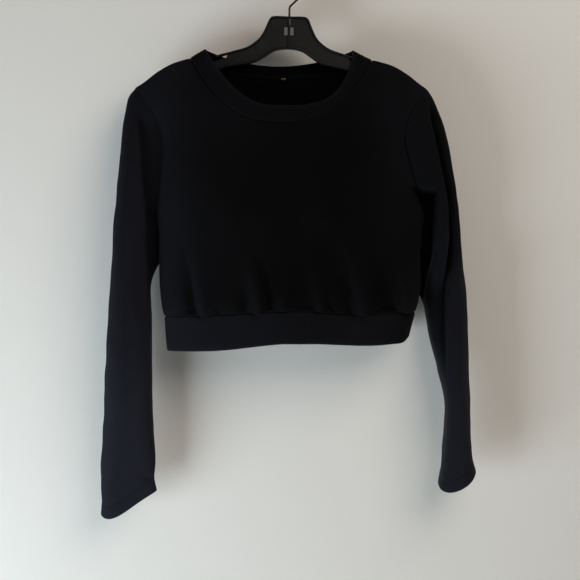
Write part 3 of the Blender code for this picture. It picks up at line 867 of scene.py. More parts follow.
@dataclass(frozen=True)
class BronzedWire:
    """Drawn steel wire with a dark bronze coat, rubbed brighter in places."""

    colour: Colour = (0.032, 0.021, 0.012)
    rubbed: Colour = (0.085, 0.06, 0.036)
    roughness: Pair = (0.42, 0.28)
    draw: Triple = (2600.0, 2600.0, 90.0)
    patch_scale: float = 120.0
    relief: float = 0.02

    def material(self) -> Material:
        """Makes the finish.

        Returns:
            The node material.
        """
        recipe = Recipe("bronzed_wire")
        drawn = recipe.clouds(recipe.stretched(self.draw), 1.0)
        patches = recipe.spread(recipe.clouds(recipe.spot(), self.patch_scale, 4.0), 0.45, 0.7, 0.0, 1.0)
        recipe.bump(drawn, self.relief)
        recipe.feed(recipe.shader.inputs["Base Color"], recipe.mixed(patches, self.colour, self.rubbed))
        recipe.feed(recipe.shader.inputs["Roughness"], recipe.spread(patches, 0.0, 1.0, *self.roughness))
        recipe.constants(Metallic=1.0)
        return recipe.made


@dataclass(frozen=True)
class WovenTape:
    """Undyed woven label tape, seen as its weave and its loose ends."""

    colour: Colour = (0.11, 0.096, 0.078)
    light: Colour = (0.23, 0.208, 0.168)
    yarn: float = 0.32
    relief: float = 0.12

    def material(self) -> Material:
        """Makes the finish.

        Returns:
            The node material.
        """
        recipe = Recipe("label_tape")
        waves = []
        for metres in recipe.measure():
            turns = recipe.maths("MULTIPLY", metres, math.pi / (self.yarn * MM))
            waves.append(recipe.maths("SINE", turns))
        weave = recipe.spread(recipe.maths("MULTIPLY", *waves), -1.0, 1.0, 0.0, 1.0)
        recipe.bump(weave, self.relief)
        recipe.feed(recipe.shader.inputs["Base Color"], recipe.mixed(weave, self.colour, self.light))
        recipe.constants(Roughness=0.85, Specular_IOR_Level=0.2)
        return recipe.made


@dataclass(frozen=True)
class RollerPaint:
    """Matt paint rolled on a flat backdrop, which may be clear from behind."""

    name: str
    colour: Colour
    shaded: Colour
    patch_scale: float = 2.2
    nap_scale: float = 420.0
    relief: float = 0.12
    one_sided: bool = False

    def material(self) -> Material:
        """Makes the finish.

        Returns:
            The node material.
        """
        recipe = Recipe(self.name)
        spot = recipe.spot()
        patches = recipe.clouds(spot, self.patch_scale, 4.0)
        recipe.bump(recipe.clouds(spot, self.nap_scale, 3.0), self.relief)
        recipe.feed(recipe.shader.inputs["Base Color"], recipe.mixed(patches, self.colour, self.shaded))
        recipe.constants(Roughness=0.92, Specular_IOR_Level=0.15)
        if self.one_sided:
            behind = recipe.add("NewGeometry", {}, "Backfacing")
            clear = recipe.add("BsdfTransparent", {})
            cover = recipe.add("MixShader", {0: behind, 1: recipe.shader.outputs[0], 2: clear})
            recipe.feed(recipe.tree.nodes["Material Output"].inputs["Surface"], cover)
        return recipe.made


def picked(*parts: Piece) -> None:
    """Selects some pieces and no others, with the first one active.

    Args:
        parts: the pieces.
    """
    bpy.ops.object.select_all(action="DESELECT")
    for part in parts:
        part.select_set(True)
    bpy.context.view_layer.objects.active = parts[0]


def linked(name: str, data: bpy.types.ID) -> Piece:
    """Adds an object to the scene.

    Args:
        name: its name.
        data: its mesh, light or camera.

    Returns:
        The object.
    """
    made = bpy.data.objects.new(name, data)
    bpy.context.scene.collection.objects.link(made)
    return made


def fresh(name: str, add: Callable, place: Sequence[float], **settings: object) -> Piece:
    """Adds a primitive with nothing else selected.

    Args:
        name: name of the object.
        add: the operator that adds it.
        place: its middle, in millimetres.
        settings: the operator's own settings, in metres.

    Returns:
        The object, with its place in its mesh.
    """
    bpy.ops.object.select_all(action="DESELECT")
    add(location=[c * MM for c in place], **settings)
    made = bpy.context.object
    made.name = made.data.name = name
    bpy.ops.object.transform_apply(location=True, rotation=True, scale=True)
    return made


@contextmanager
def editing(made: Piece) -> Iterator[bpy.types.Mesh]:
    """Opens a piece in edit mode for a block of steps, with all of it selected.

    Args:
        made: the piece.

    Yields:
        The mesh being edited.
    """
    picked(made)
    bpy.ops.object.mode_set(mode="EDIT")
    bpy.ops.mesh.select_all(action="SELECT")
    yield made.data
    bpy.ops.object.mode_set(mode="OBJECT")


def choose(mesh: bpy.types.Mesh, kind: str, test: Callable) -> None:
    """Selects the vertices, edges or faces that pass a test, in edit mode.

    Args:
        mesh: the mesh being edited.
        kind: VERT, EDGE or FACE.
        test: says whether one of them is wanted.
    """
    bpy.ops.mesh.select_mode(type=kind)
    bpy.ops.mesh.select_all(action="DESELECT")
    tool = bmesh.from_edit_mesh(mesh)
    for part in {"VERT": tool.verts, "EDGE": tool.edges, "FACE": tool.faces}[kind]:
        part.select_set(bool(test(part)))
    tool.select_flush_mode()
    bmesh.update_edit_mesh(mesh)


def pulled(x: float = 0.0, y: float = 0.0, z: float = 0.0) -> dict:
    """The settings of a move, from millimetres."""
    return {"value": (x * MM, y * MM, z * MM)}


def drawn_line(name: str, places: Sequence[Place], y: float) -> Piece:
    """Draws a line of edges by extruding one vertex from place to place.

    Args:
        name: name of the object.
        places: the line's places, across and up.
        y: its depth.

    Returns:
        The object.
    """
    made = fresh(name, bpy.ops.mesh.primitive_plane_add, (places[0][0], y, places[0][1]), size=MM)
    with editing(made):
        bpy.ops.mesh.select_mode(type="VERT")
        bpy.ops.mesh.merge(type="CENTER")
        for (x, z), (next_x, next_z) in zip(places, places[1:]):
            bpy.ops.mesh.extrude_vertices_move(TRANSFORM_OT_translate=pulled(next_x - x, 0, next_z - z))
    return made


def joined(parts: Sequence[Piece]) -> Piece:
    """Joins objects into the first one.

    Args:
        parts: the objects.

    Returns:
        The first one.
    """
    picked(*parts)
    bpy.ops.object.join()
    return parts[0]


def changed(made: Piece, kind: str, **settings: object) -> None:
    """Adds a modifier to a piece and applies it.

    Args:
        made: the piece.
        kind: the modifier's type.
        settings: its settings.
    """
    bpy.context.view_layer.objects.active = made
    change = made.modifiers.new(kind.lower(), kind)
    for name, value in settings.items():
        setattr(change, name, value)
    bpy.ops.object.modifier_apply(modifier=change.name)


def combined(made: Piece, other: Piece, operation: str) -> None:
    """Adds another solid to a piece or cuts it away, and uses it up."""
    changed(made, "BOOLEAN", operation=operation, object=other, solver="EXACT")
    bpy.data.objects.remove(other)


def made_solid(made: Piece) -> None:
    """Merges the points that meet in a piece and points its faces outwards.

    Args:
        made: the piece.
    """
    with editing(made):
        bpy.ops.mesh.remove_doubles(threshold=MERGED)
        bpy.ops.mesh.normals_make_consistent(inside=False)


def plate(name: str, places: Sequence[Place], y: float, thick: float) -> Piece:
    """A flat solid with straight edges between places.

    Args:
        name: name of the object.
        places: its corners, across and up.
        y: depth of its front.
        thick: how thick it is.

    Returns:
        The object.
    """
    made = drawn_line(name, [*places, places[0]], y)
    with editing(made):
        bpy.ops.mesh.remove_doubles(threshold=MERGED)
        bpy.ops.mesh.edge_face_add()
        bpy.ops.mesh.extrude_region_move(TRANSFORM_OT_translate=pulled(y=thick))
    made_solid(made)
    return made


def smoothed(made: Piece, sharpest: float) -> None:
    """Shades a piece smooth, but not across its hard edges.

    Args:
        made: the piece.
        sharpest: how many degrees an edge may turn and be smooth.
    """
    picked(made)
    bpy.ops.object.shade_smooth_by_angle(angle=math.radians(sharpest))


def eased(made: Piece, radius: float, steps: int = 2, sharpest: float = 35.0) -> None:
    """Rounds the hard edges of a piece and shades it smooth.

    Args:
        made: the piece.
        radius: how wide the rounding is, in millimetres.
        steps: faces across the rounding.
        sharpest: edges that turn less than this many degrees stay as they are.
    """
    angle = math.radians(sharpest)
    changed(made, "BEVEL", width=radius * MM, segments=steps, limit_method="ANGLE", angle_limit=angle)
    smoothed(made, sharpest)


def fitted(made: Piece, place: Matrix) -> None:
    """Moves a piece to its place and keeps the place in its mesh.

    Args:
        made: the piece.
        place: where it goes.
    """
    picked(made)
    made.matrix_world = place
    bpy.ops.object.transform_apply(location=True, rotation=True, scale=True)


def settled(made: Piece, finish: Material, slot: Slot, *nodes: str) -> None:
    """Gives a piece its finish, hides the CAD nodes that it replaces, hangs it on the body and reports it.

    Args:
        made: the piece.
        finish: its material.
        slot: not used.
        nodes: the CAD nodes that it replaces.
    """
    made.data.materials.clear()
    made.data.materials.append(finish)
    if nodes:
        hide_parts(*nodes)
    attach(made, BODY)
    log.info("%s: %d faces", made.name, len(made.data.polygons))


@dataclass(frozen=True)
class Skin:
    """The garment's surface: its seam lines and its cross-sections."""

    neck_left: Place = (-143.6, -126.3)
    neck_right: Place = (120.4, -129.2)
    tip_left: Place = (-221.9, -168.5)
    tip_right: Place = (200.1, -171.1)
    shoulder_places: tuple[float, ...] = (0, 0.33, 0.6, 0.85, 1)
    shoulder_drops: tuple[float, ...] = (0, 0.19, 0.47, 0.83, 1)
    shoulder_roll: float = 12.0
    ridge_over_neck: float = 8.0
    ridge_fade: float = 60.0
    front_neck_level: float = -223.0
    back_neck_level: float = -154.0
    front_neck_power: float = 2.6
    back_neck_power: float = 2.2
    armhole_rows: float = 12.0
    side_rows: float = 5.0
    section_power: float = 5.0
    section_round: float = 1.5
    side_seam_y: float = -2.0
    edge_blend: float = 15.0
    edge_ease: float = 1.6
    ring_power: float = 0.78
    inset_left: float = 26.0
    inset_right: float = 33.0
    inset_fade: float = 4.0
    sag_near: float = 0.8
    sag_far: float = 2.4

    def body(self, z: Array, column: str) -> Array:
        """A column of the body's levels at some heights."""
        rows = BODY_LEVELS[::-1]
        return through([row.z for row in rows], [getattr(row, column) for row in rows], z)

    def shoulder(self, side: Side, x: Array) -> Array:
        """Reads the shoulder's ridge between the neck point and the shoulder's tip.

        Args:
            side: which shoulder.
            x: places across.

        Returns:
            The ridge's height there.
        """
        left = side is Side.LEFT
        neck, tip = (self.neck_left, self.tip_left) if left else (self.neck_right, self.tip_right)
        share = (x - neck[0]) / (tip[0] - neck[0])
        return lerp(neck[1], tip[1], through(self.shoulder_places, self.shoulder_drops, share))

    def top(self, x: Array, over_neck: Array) -> Array:
        """Height of the upper outline: the shoulders, and what is given over the neck."""
        sides = np.where(x < 0, self.shoulder(Side.LEFT, x), self.shoulder(Side.RIGHT, x))
        return np.where(self.beside_neck(x), sides, over_neck)

    def beside_neck(self, x: Array) -> Array:
        """Whether places across lie outside the neck."""
        return (x <= self.neck_left[0]) | (x >= self.neck_right[0])

    def neck_share(self, x: Array) -> Array:
        """Place across the neck, from -1 at its left point to 1 at its right one."""
        return np.clip(2 * (x - self.neck_left[0]) / (self.neck_right[0] - self.neck_left[0]) - 1, -1, 1)

    def ridge(self, x: Array) -> Array:
        """Reads the top of the garment, with a low bridge over the neck.

        Args:
            x: places across.

        Returns:
            Its height there.
        """
        t = self.neck_share(x)
        bridge = lerp(self.neck_left[1], self.neck_right[1], (t + 1) / 2)
        return self.top(x, bridge + self.ridge_over_neck * (1 - t * t))

    def outline(self, face: Face, x: Array) -> Array:
        """Reads the upper outline of a panel: the shoulders and its neckline.

        Args:
            face: which panel.
            x: places across.

        Returns:
            The outline's height there.
        """
        front = face is Face.FRONT
        level = self.front_neck_level if front else self.back_neck_level
        power = self.front_neck_power if front else self.back_neck_power
        t = self.neck_share(x)
        ends = np.where(t < 0, self.neck_left[1], self.neck_right[1])
        return self.top(x, lerp(level, ends, np.abs(t) ** power))

    def roll(self, drop: Array) -> Array:
        """How far the cloth stands out that far below the ridge, as it rolls over the hanger."""
        left = 1 - np.clip(drop / self.shoulder_roll, 0, 1)
        return self.shoulder_roll * np.sqrt(1 - left * left)

    def sleeve(self, side: Side, at: Array, turn: Array) -> Array:
        """Points of a sleeve.

        Args:
            side: which sleeve.
            at: share of the way down the sleeve, from the armhole to the cuff.
            turn: degrees round it: 0 on the outer line, 90 in front, 180 at the underarm.

        Returns:
            The points, with x, y and z in the last axis.
        """
        at, turn = np.broadcast_arrays(at, turn)
        rings = SLEEVE_RINGS[side]
        keys = np.linspace(0, 1, len(rings))
        ring = Ring(*(through(keys, [row[c] for row in rings], at) for c in range(len(Ring._fields))))
        across, around = np.cos(np.radians(turn)), np.sin(np.radians(turn))
        full = np.sign(around) * np.abs(around) ** self.ring_power
        outward, inset = (-1, self.inset_left) if side is Side.LEFT else (1, self.inset_right)
        share = (1 - across) / 2
        inset = inset * (1 - smooth_step(at * self.inset_fade)) * through(*zip(*ARMHOLE_CUT), share)
        x = lerp(ring.outer_x, ring.inner_x, share) + outward * (ring.lean * around - inset)
        z = lerp(ring.outer_z, ring.inner_z, share) - ring.dip * around - ring.sag * self.sagging(share)
        front = ring.front * self.kept(side, x, z)
        y = share * ring.inner_y - full * np.where(around > 0, front, ring.back)
        return np.stack([x, y, z], axis=-1)

    def sagging(self, share: Array) -> Array:
        """Shape of a cuff's sag.

        Args:
            share: places from its outer line, 0, to its underarm, 1.

        Returns:
            How much of the sag is there, 1 at its lowest.
        """
        peak = self.sag_near / (self.sag_near + self.sag_far)
        highest = peak**self.sag_near * (1 - peak) ** self.sag_far
        return share**self.sag_near * (1 - share) ** self.sag_far / highest

    def kept(self, side: Side, x: Array, z: Array, share: str = "keeps") -> Array:
        """Works out how much of its depth or its painted light a sleeve's front keeps where it falls back.

        Args:
            side: which sleeve.
            x: the points' place across.
            z: their height.
            share: the column of the falls: keeps for the depth, fades for the painted light and shade.

        Returns:
            The share that each point keeps.
        """
        kept = np.ones_like(x)
        for fall in SLEEVE_FALLS[side]:
            line = through(*zip(*fall.line[::-1]), z)
            past = smooth_step(fall.towards * (x - line) / fall.wide)
            opened = smooth_step((fall.opens[0] - z) / (fall.opens[0] - fall.opens[1]))
            closed = smooth_step((fall.closes[0] - z) / (fall.closes[0] - fall.closes[1]))
            kept *= 1 - (1 - getattr(fall, share)) * past * opened * (1 - closed)
        return kept

    def panel_edge(self, side: Side, face: Face, rows: Array) -> Array:
        """Follows a side edge of a panel: down the armhole, then down the side seam.

        Args:
            side: which edge.
            face: which panel.
            rows: places down the edge.

        Returns:
            The edge's points.
        """
        turn = 180 * np.minimum(rows / self.armhole_rows, 1)
        armhole = self.sleeve(side, 0.0, turn if face is Face.FRONT else -turn)
        top = SLEEVE_RINGS[side][0].inner_z
        foot = WAIST_SEAM[face][0 if side is Side.LEFT else -1].z
        z = lerp(top, foot, (rows - self.armhole_rows) / self.side_rows)
        seam = np.stack([self.body(z, side.value), np.full_like(z, self.side_seam_y), z], axis=-1)
        return np.where((rows <= self.armhole_rows)[:, None], armhole, seam)

    def swell_from(self, side: Side, face: Face, rows: Array) -> Array:
        """Works out the depth from which a panel swells beside its edge: the armhole's, eased below.

        Args:
            side: which edge.
            face: which panel.
            rows: places down the edge.

        Returns:
            The depth at each place.
        """
        around = np.abs(np.sin(math.pi * np.minimum(rows / self.armhole_rows, 1)))
        depth = getattr(SLEEVE_RINGS[side][0], face.value)
        power = lerp(self.ring_power, self.edge_ease, smooth_step(rows / self.armhole_rows * 2 - 0.5))
        return self.side_seam_y + (-depth if face is Face.FRONT else depth) * around**power

    def panel(self, face: Face, rows: Array, shares: Array) -> Array:
        """Points of the front or back.

        Args:
            face: which panel.
            rows: places down its side edges, from the shoulder to the waist seam.
            shares: places across it, from 0 at its left edge to 1 at its right one.

        Returns:
            A grid of points, a line for each row.
        """
        out = -1 if face is Face.FRONT else 1
        left, right = (self.panel_edge(side, face, rows)[:, None] for side in Side)
        w = shares[None, :]
        feet = [WAIST_SEAM[face][end].z for end in (0, -1)]
        tips = (self.tip_left[1], self.tip_right[1])
        down = lerp(*((e[..., 2] - tip) / (foot - tip) for e, tip, foot in zip((left, right), tips, feet)), w)
        x = lerp(left[..., 0], right[..., 0], w)
        foot_x = lerp(self.body(feet[0], "left"), self.body(feet[1], "right"), w)
        top_z = self.outline(face, lerp(self.tip_left[0], self.tip_right[0], w))
        z = lerp(top_z, along_edge(WAIST_SEAM[face], foot_x), down)
        drop = self.ridge(x) - z
        stand = self.body(z, face.value) * smooth_step(drop / self.ridge_fade)
        middle = out * (self.roll(drop) + stand)
        width = right[..., 0] - left[..., 0]
        sides = []
        for side, edge, off in ((Side.LEFT, left, w * width), (Side.RIGHT, right, (1 - w) * width)):
            swell = self.swell_from(side, face, rows)[:, None]
            sides.append(lerp(edge[..., 1], swell, smooth_step(off / self.edge_blend)))
        full = (1 - np.abs(2 * w - 1) ** self.section_power) ** (1 / self.section_round)
        y = lerp(np.where(w < 0.5, *sides), middle, full)
        return np.stack(np.broadcast_arrays(x, y, z), axis=-1)


@dataclass
class Cloth:
    """One cut piece of cloth on the skin: a grid of points that is creased, then given a wall.

    The last row may be a fold or a stitched hem, and the first may run on under its neighbour.
    Where a point is marked level, its normal has no part towards the viewer, so that two pieces
    which meet edge to edge there meet exactly.
    """

    name: str
    points: Array
    round_it: bool = False
    thick: float = 1.8
    proud: float = 0.0
    dip_reach: float = 2.4
    fold: float | None = None
    hem: float | None = None
    hem_lines: tuple[float, ...] = ()
    hem_stands: float = 0.4
    hem_step: float = 1.6
    groove: float = 0.5
    groove_reach: float = 0.8
    tucked: float = 0.0
    tucked_under: float = 2.1
    tucked_thick: float = 0.8
    level: Array | None = None
    fold_wear: float = 0.5
    wear_reach: float = 3.0
    # Painted light: how much lighter the cloth is painted where light falls
    faded_and_lit: Array | float = 0.0

    def normals(self) -> Array:
        """Works out which way the cloth faces, by the turn of its columns and rows.

        Returns:
            The outward normal at each point.
        """
        rows = np.gradient(self.points, axis=0)
        if self.round_it:
            around = np.concatenate([self.points[:, -1:], self.points, self.points[:, :1]], axis=1)
            columns = (around[:, 2:] - around[:, :-2]) / 2
        else:
            columns = np.gradient(self.points, axis=1)
        normals = np.cross(rows, columns)
        if self.level is not None:
            normals[self.level, 1] = 0
        return normals / np.maximum(np.linalg.norm(normals, axis=-1, keepdims=True), 1e-9)

    def lift(self, height: Array) -> None:
        """Moves the cloth outwards by a height at each point."""
        self.points = self.points + self.normals() * height[..., None]

    def near(self, line: Array) -> Array:
        """Measures how far the cloth is from a line.

        Args:
            line: the line's points.

        Returns:
            The distance at each point of the cloth.
        """
        tree = KDTree(len(line))
        for index, point in enumerate(line):
            tree.insert(point, index)
        tree.balance()
        flat = self.points.reshape(-1, 3)
        return np.array([tree.find(point)[2] for point in flat]).reshape(self.points.shape[:-1])

    def measured(self) -> tuple[Array, Array]:
        """Measures the cloth along its rows and down its columns.

        Returns:
            Each point's distance from the middle column, and its distance from the last row.
        """
        points = self.points
        if self.round_it:
            points = np.concatenate([points, points[:, :1]], axis=1)
        across = np.linalg.norm(np.diff(points, axis=1), axis=-1)
        across = np.pad(np.cumsum(across, axis=1), ((0, 0), (1, 0)))
        down = np.linalg.norm(np.diff(points, axis=0), axis=-1)
        down = np.pad(np.cumsum(down, axis=0), ((1, 0), (0, 0)))
        return across - across[:, points.shape[1] // 2][:, None], down[-1] - down

    def above_edge(self, far: float) -> tuple[Array, Array]:
        """A line round the cloth at a distance above its last row.

        Args:
            far: the distance, measured on the cloth.

        Returns:
            The line's points and the normals there, the first ones again at the end.
        """
        down = self.measured()[1]
        found = []
        for grid in (self.points, self.normals()):
            line = np.empty(grid.shape[1:])
            for column, values in enumerate(np.moveaxis(grid, 1, 0)):
                for axis in range(3):
                    line[column, axis] = np.interp(far, down[::-1, column], values[::-1, axis])
            found.append(np.concatenate([line, line[:1]]))
        return found[0], found[1]

    def walls(self, seams: Sequence[Seam], to_edge: Array) -> tuple[Array, Array, Array]:
        """Offsets of the two faces from the skin, and how much lighter the cloth is painted.

        Args:
            seams: the seams into which the outer face rolls.
            to_edge: how far each point is above the last row.

        Returns:
            The outer offset, the inner offset and how much lighter each point is painted.
        """
        outer = np.full(to_edge.shape, self.proud)
        inner = outer - self.thick
        # Painted light first, then real rubbing at folds and seams, make the cloth lighter
        lightening = np.zeros(to_edge.shape) + self.faded_and_lit
        if self.fold is not None:
            round_off = np.sqrt(1 - np.clip(1 - to_edge / self.fold, 0, 1) ** 2)
            stands = 0.0
            if self.hem is not None:
                stands = self.hem_stands * smooth_step((self.hem - to_edge) / self.hem_step)
            half = round_off * (self.thick / 2 + stands)
            outer, inner = (self.proud - self.thick / 2 + sign * half for sign in (1, -1))
            lightening += self.fold_wear * np.exp(-to_edge / self.wear_reach)
        for line in self.hem_lines:
            groove = np.exp(-(((to_edge - line) / self.groove_reach) ** 2))
            outer = outer - self.groove * groove
            inner = inner + self.groove / 2 * groove
        for seam in seams:
            near = self.near(seam.line)
            outer = outer - seam.dip * np.clip(1 - near / self.dip_reach, 0, 1) ** 2
            lightening += seam.lightening * np.exp(-near / self.wear_reach)
        return outer, inner, lightening

    def shell(self, seams: Sequence[Seam] = ()) -> Piece:
        """Makes the piece: an outer face rolled into its seams, an inner face and the rim.

        Args:
            seams: the seams into which the outer face rolls.

        Returns:
            The finished object.
        """
        points, normals = self.points, self.normals()
        across, down = self.measured()
        outer, inner, lightening = self.walls(seams, down[:, : points.shape[1]])
        if self.tucked:
            back = points[0] - points[1]
            back /= np.linalg.norm(back, axis=-1, keepdims=True)
            for run in (self.tucked / 3, self.tucked):
                points = np.concatenate([(self.points[0] + back * run)[None], points])
                normals = np.concatenate([normals[:1], normals])
                under = np.full((1, outer.shape[1]), -self.tucked_under)
                outer = np.concatenate([under, outer])
                inner = np.concatenate([under - self.tucked_thick, inner])
                lightening = np.concatenate([lightening[:1], lightening])
                across = np.concatenate([across[:1], across])
                down = np.concatenate([down[:1] + run, down])
        faces = [points + normals * offset[..., None] for offset in (outer, inner)]
        if self.fold is not None:
            faces[1][-1] = faces[0][-1]
        return sheet_mesh(self.name, faces, (across, down), lightening, self.round_it)


def sheet_mesh(
    name: str, faces: Sequence[Array], cloth: Sequence[Array], lightening: Array, round_it: bool
) -> Piece:
    """Builds a closed sheet from the grids of its two faces.

    Args:
        name: name of the object.
        faces: grids of the outer and the inner face, in millimetres.
        cloth: cloth measure along the rows and down the columns, for the knit.
        lightening: how much lighter each point is painted, mostly painted light.
        round_it: whether the last column joins the first.

    Returns:
        The object, with a UV map in metres of cloth and each point's painted lightness kept on it.
    """
    rows, columns = faces[0].shape[:2]
    points = np.concatenate([faces[0], faces[1][::-1]]).reshape(-1, 3) * MM
    strips = 2 * rows
    wide = columns if round_it else columns - 1
    r, c = (a.ravel() for a in np.meshgrid(np.arange(strips), np.arange(wide), indexing="ij"))
    after_r, after_c = (r + 1) % strips, c + 1
    corner = [(r, c), (after_r, c), (after_r, after_c), (r, after_c)]
    quads = np.stack([i * columns + j % columns for i, j in corner], axis=1)
    cloth = [np.concatenate([a, a[::-1]]) * MM for a in cloth]
    uv = np.stack([np.stack([a[i, j] for a in cloth], axis=-1) for i, j in corner], axis=1)
    if not round_it:
        for end, flip in ((0, 1), (columns - 1, -1)):
            i = np.arange(rows - 1)
            out, into = i * columns + end, (strips - 1 - i) * columns + end
            rim = np.stack([out, into, into - columns, out + columns], axis=1)[:, ::flip]
            quads = np.concatenate([quads, rim])
            at_end = np.full(rows - 1, end)
            corners = [np.stack([a[k, at_end] for a in cloth], axis=-1) for k in (i, i, i + 1, i + 1)]
            uv = np.concatenate([uv, np.stack(corners, axis=1)[:, ::flip]])
    a, b, c, d = (points[quads[:, k]] for k in range(4))
    if (np.einsum("ij,ij->i", a, np.cross(b, c)) + np.einsum("ij,ij->i", a, np.cross(c, d))).sum() < 0:
        quads, uv = quads[:, ::-1], uv[:, ::-1]
    mesh = bpy.data.meshes.new(name)
    mesh.from_pydata(points.tolist(), [], quads.tolist())
    layer = mesh.uv_layers.new(name="cloth")
    layer.data.foreach_set("uv", uv.reshape(-1).astype(np.float32))
    # The inner face gets a smaller share of the lightening: painted shade inside
    both = np.concatenate([lightening, INNER_LIGHTENING * lightening[::-1]])
    inside = np.repeat([0.0, 1.0], lightening.size)
    for noted, values in (("lightening", both), ("inside", inside)):
        kept = mesh.attributes.new(noted, "FLOAT", "POINT")
        kept.data.foreach_set("value", values.reshape(-1).astype(np.float32))
    made = linked(name, mesh)
    weld(made)
    return made


def weld(made: Piece, sharpest: float = 60.0) -> None:
    """Merges the points that meet in a sheet and shades it smooth, sharp at its rims.

    Args:
        made: the sheet.
        sharpest: how many degrees an edge may turn and be smooth.
    """
    tool = bmesh.new()
    tool.from_mesh(made.data)
    bmesh.ops.remove_doubles(tool, verts=tool.verts, dist=MERGED)
    tool.to_mesh(made.data)
    tool.free()
    made.data.shade_smooth()
    made.data.set_sharp_from_angle(angle=math.radians(sharpest))


class Cut(NamedTuple):
    """What a piece was cut from: its cloth's width and length in metres, its area and how it is held."""

    wide: float
    long: float
    area: float
    held: Held


@dataclass(frozen=True)
class CoverStitch:
    """Rows of stitches round a hem: short beads of thread, each sunk a little in the cloth."""

    heights: tuple[float, ...] = (15.4, 18.6)
    long: float = 2.5
    thick: float = 0.6
    pitch: float = 3.2
    sunk: float = 0.28
    slant: float = 0.08
    sides: int = 8
    rings: int = 5

    def bead(self) -> Piece:
        """Models one stitch along X, standing up in Z.

        Returns:
            The stitch.
        """
        made = fresh(
            "stitch",
            bpy.ops.mesh.primitive_uv_sphere_add,
            (0, 0, 0),
            segments=self.sides,
            ring_count=self.rings,
            radius=self.thick / 2 * MM,
        )
        with editing(made) as mesh:
            for way in (-1, 1):
                choose(mesh, "VERT", lambda vert: vert.co.x * way > MERGED)
                bpy.ops.transform.translate(**pulled(x=way * (self.long - self.thick) / 2))
        return made

    def round_hem(self, name: str, cloth: Cloth, bead: Piece) -> Piece:
        """Lays copies of a stitch along the hem's lines.

        Args:
            name: name of the object.
            cloth: the hemmed piece.
            bead: one stitch.

        Returns:
            The rows of stitches as one object.
        """
        shape = np.array([vert.co[:] for vert in bead.data.vertices]) / MM
        sides = [tuple(face.vertices) for face in bead.data.polygons]
        points, faces = [], []
        for height in self.heights:
            line, normals = cloth.above_edge(height)
            length = np.linalg.norm(np.diff(line, axis=0), axis=1).sum()
            shares = np.linspace(0, 1, round(length / self.pitch) + 1)[:-1]
            spots = evened(line[None], shares)[0]
            outs = evened_with(line, normals, shares)
            ways = np.roll(spots, -1, axis=0) - np.roll(spots, 1, axis=0)
            for spot, out, way in zip(spots, outs, ways):
                way = way / np.linalg.norm(way)
                beside = np.cross(out, way)
                way = way + beside * self.slant
                place = spot + out * (cloth.proud - self.sunk)
                start = len(points)
                points.extend(place + shape @ np.array([way, beside, out]))
                faces.extend(tuple(start + i for i in side) for side in sides)
        mesh = bpy.data.meshes.new(name)
        mesh.from_pydata((np.array(points) * MM).tolist(), [], faces)
        mesh.shade_smooth()
        return linked(name, mesh)


def evened_with(line: Array, values: Array, shares: Array) -> Array:
    """Reads directions kept on a line's points.

    Args:
        line: the line's points.
        values: a direction for each of them.
        shares: where they are read, as shares of the line's length.

    Returns:
        The directions there, of length 1.
    """
    far = np.pad(np.cumsum(np.linalg.norm(np.diff(line, axis=0), axis=1)), (1, 0))
    read = np.stack([np.interp(shares * far[-1], far, values[:, axis]) for axis in range(3)], axis=1)
    return read / np.linalg.norm(read, axis=1, keepdims=True)


@dataclass(frozen=True)
class LabelRemnant:
    """What is left of the label: torn tape in the back neck seam, and its loose ends."""

    thick: float = 0.5
    torn: float = 1.2
    raised: float = 4.4
    forward: float = 0.8
    curl: float = 0.5
    thread: float = 0.13
    columns: int = 17
    rows: int = 8
    raggedness: float = 9.0
    ends: tuple[tuple[Place, ...], ...] = (
        ((-2.4, -0.8), (-2.7, -1.6), (-2.2, -2.4)),
        ((-0.6, -0.9), (-0.3, -1.8), (-0.9, -2.7), (-0.7, -3.3)),
        ((1.3, -0.7), (1.6, -1.4), (1.2, -2.0)),
        ((2.4, -0.6), (2.8, -1.3), (2.6, -2.2)),
    )

    def build(self, finish: Material) -> None:
        """Makes the tape and its loose threads where the CAD's stub is.

        Args:
            finish: the tape's material.
        """
        low, high = (np.array(corner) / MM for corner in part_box("label_stub"))
        top, depth = high[2] + self.raised, high[1] - self.forward - self.thick
        across, down = np.meshgrid(np.linspace(0, 1, self.columns), np.linspace(0, 1, self.rows))
        edge = np.array([noise.noise(Vector((self.raggedness * share, 0.3, 0.7))) for share in across[0]])
        length = (high[2] - low[2]) * (1 - self.torn * (0.5 + edge))
        x, z = lerp(low[0], high[0], across), top - down * length
        y = depth - self.curl * down**2
        cloth = Cloth("label_tape", np.stack([x, y, z], axis=-1), thick=self.thick)
        settled(cloth.shell(), finish, Slot.TAPE, "label_stub")
        middle = (low[0] + high[0]) / 2
        threads = []
        for index, end in enumerate(self.ends):
            places = [(middle + x, top + z) for x, z in end]
            line = drawn_line(f"thread_end_{index}", places, depth - self.curl / 2)
            bpy.ops.object.convert(target="CURVE")
            line.data.bevel_depth = self.thread * MM
            line.data.bevel_resolution = 1
            line.data.use_fill_caps = True
            bpy.ops.object.convert(target="MESH")
            threads.append(bpy.context.object)
        ends = joined(threads)
        ends.name = ends.data.name = "label_threads"
        made_solid(ends)
        settled(ends, finish, Slot.TAPE)


# Painted light on a sleeve: how much lighter it is painted where it turns to the viewer's left, and to the
# right
SLEEVE_TURN_LIGHT = {Side.LEFT: (0.6, 1.3), Side.RIGHT: (-0.3, 0.8)}
# How deep the cloth rolls into each armhole's seam, and how worn it is there
ARMHOLE_SEAMS = {Side.LEFT: (0.0, 0.0), Side.RIGHT: (1.5, 0.03)}
# Painted light on a sleeve at some heights, down from its shoulder: lighter towards the cuff
SLEEVE_LIGHT = {
    Side.LEFT: ((-168, 0.32), (-280, 0.46), (-480, 0.53), (-560, 0.66), (-640, 0.9), (-790, 1.0)),
    Side.RIGHT: ((-168, 0.16), (-320, 0.22), (-430, 0.4), (-520, 0.58), (-620, 0.82), (-790, 1.0)),
}
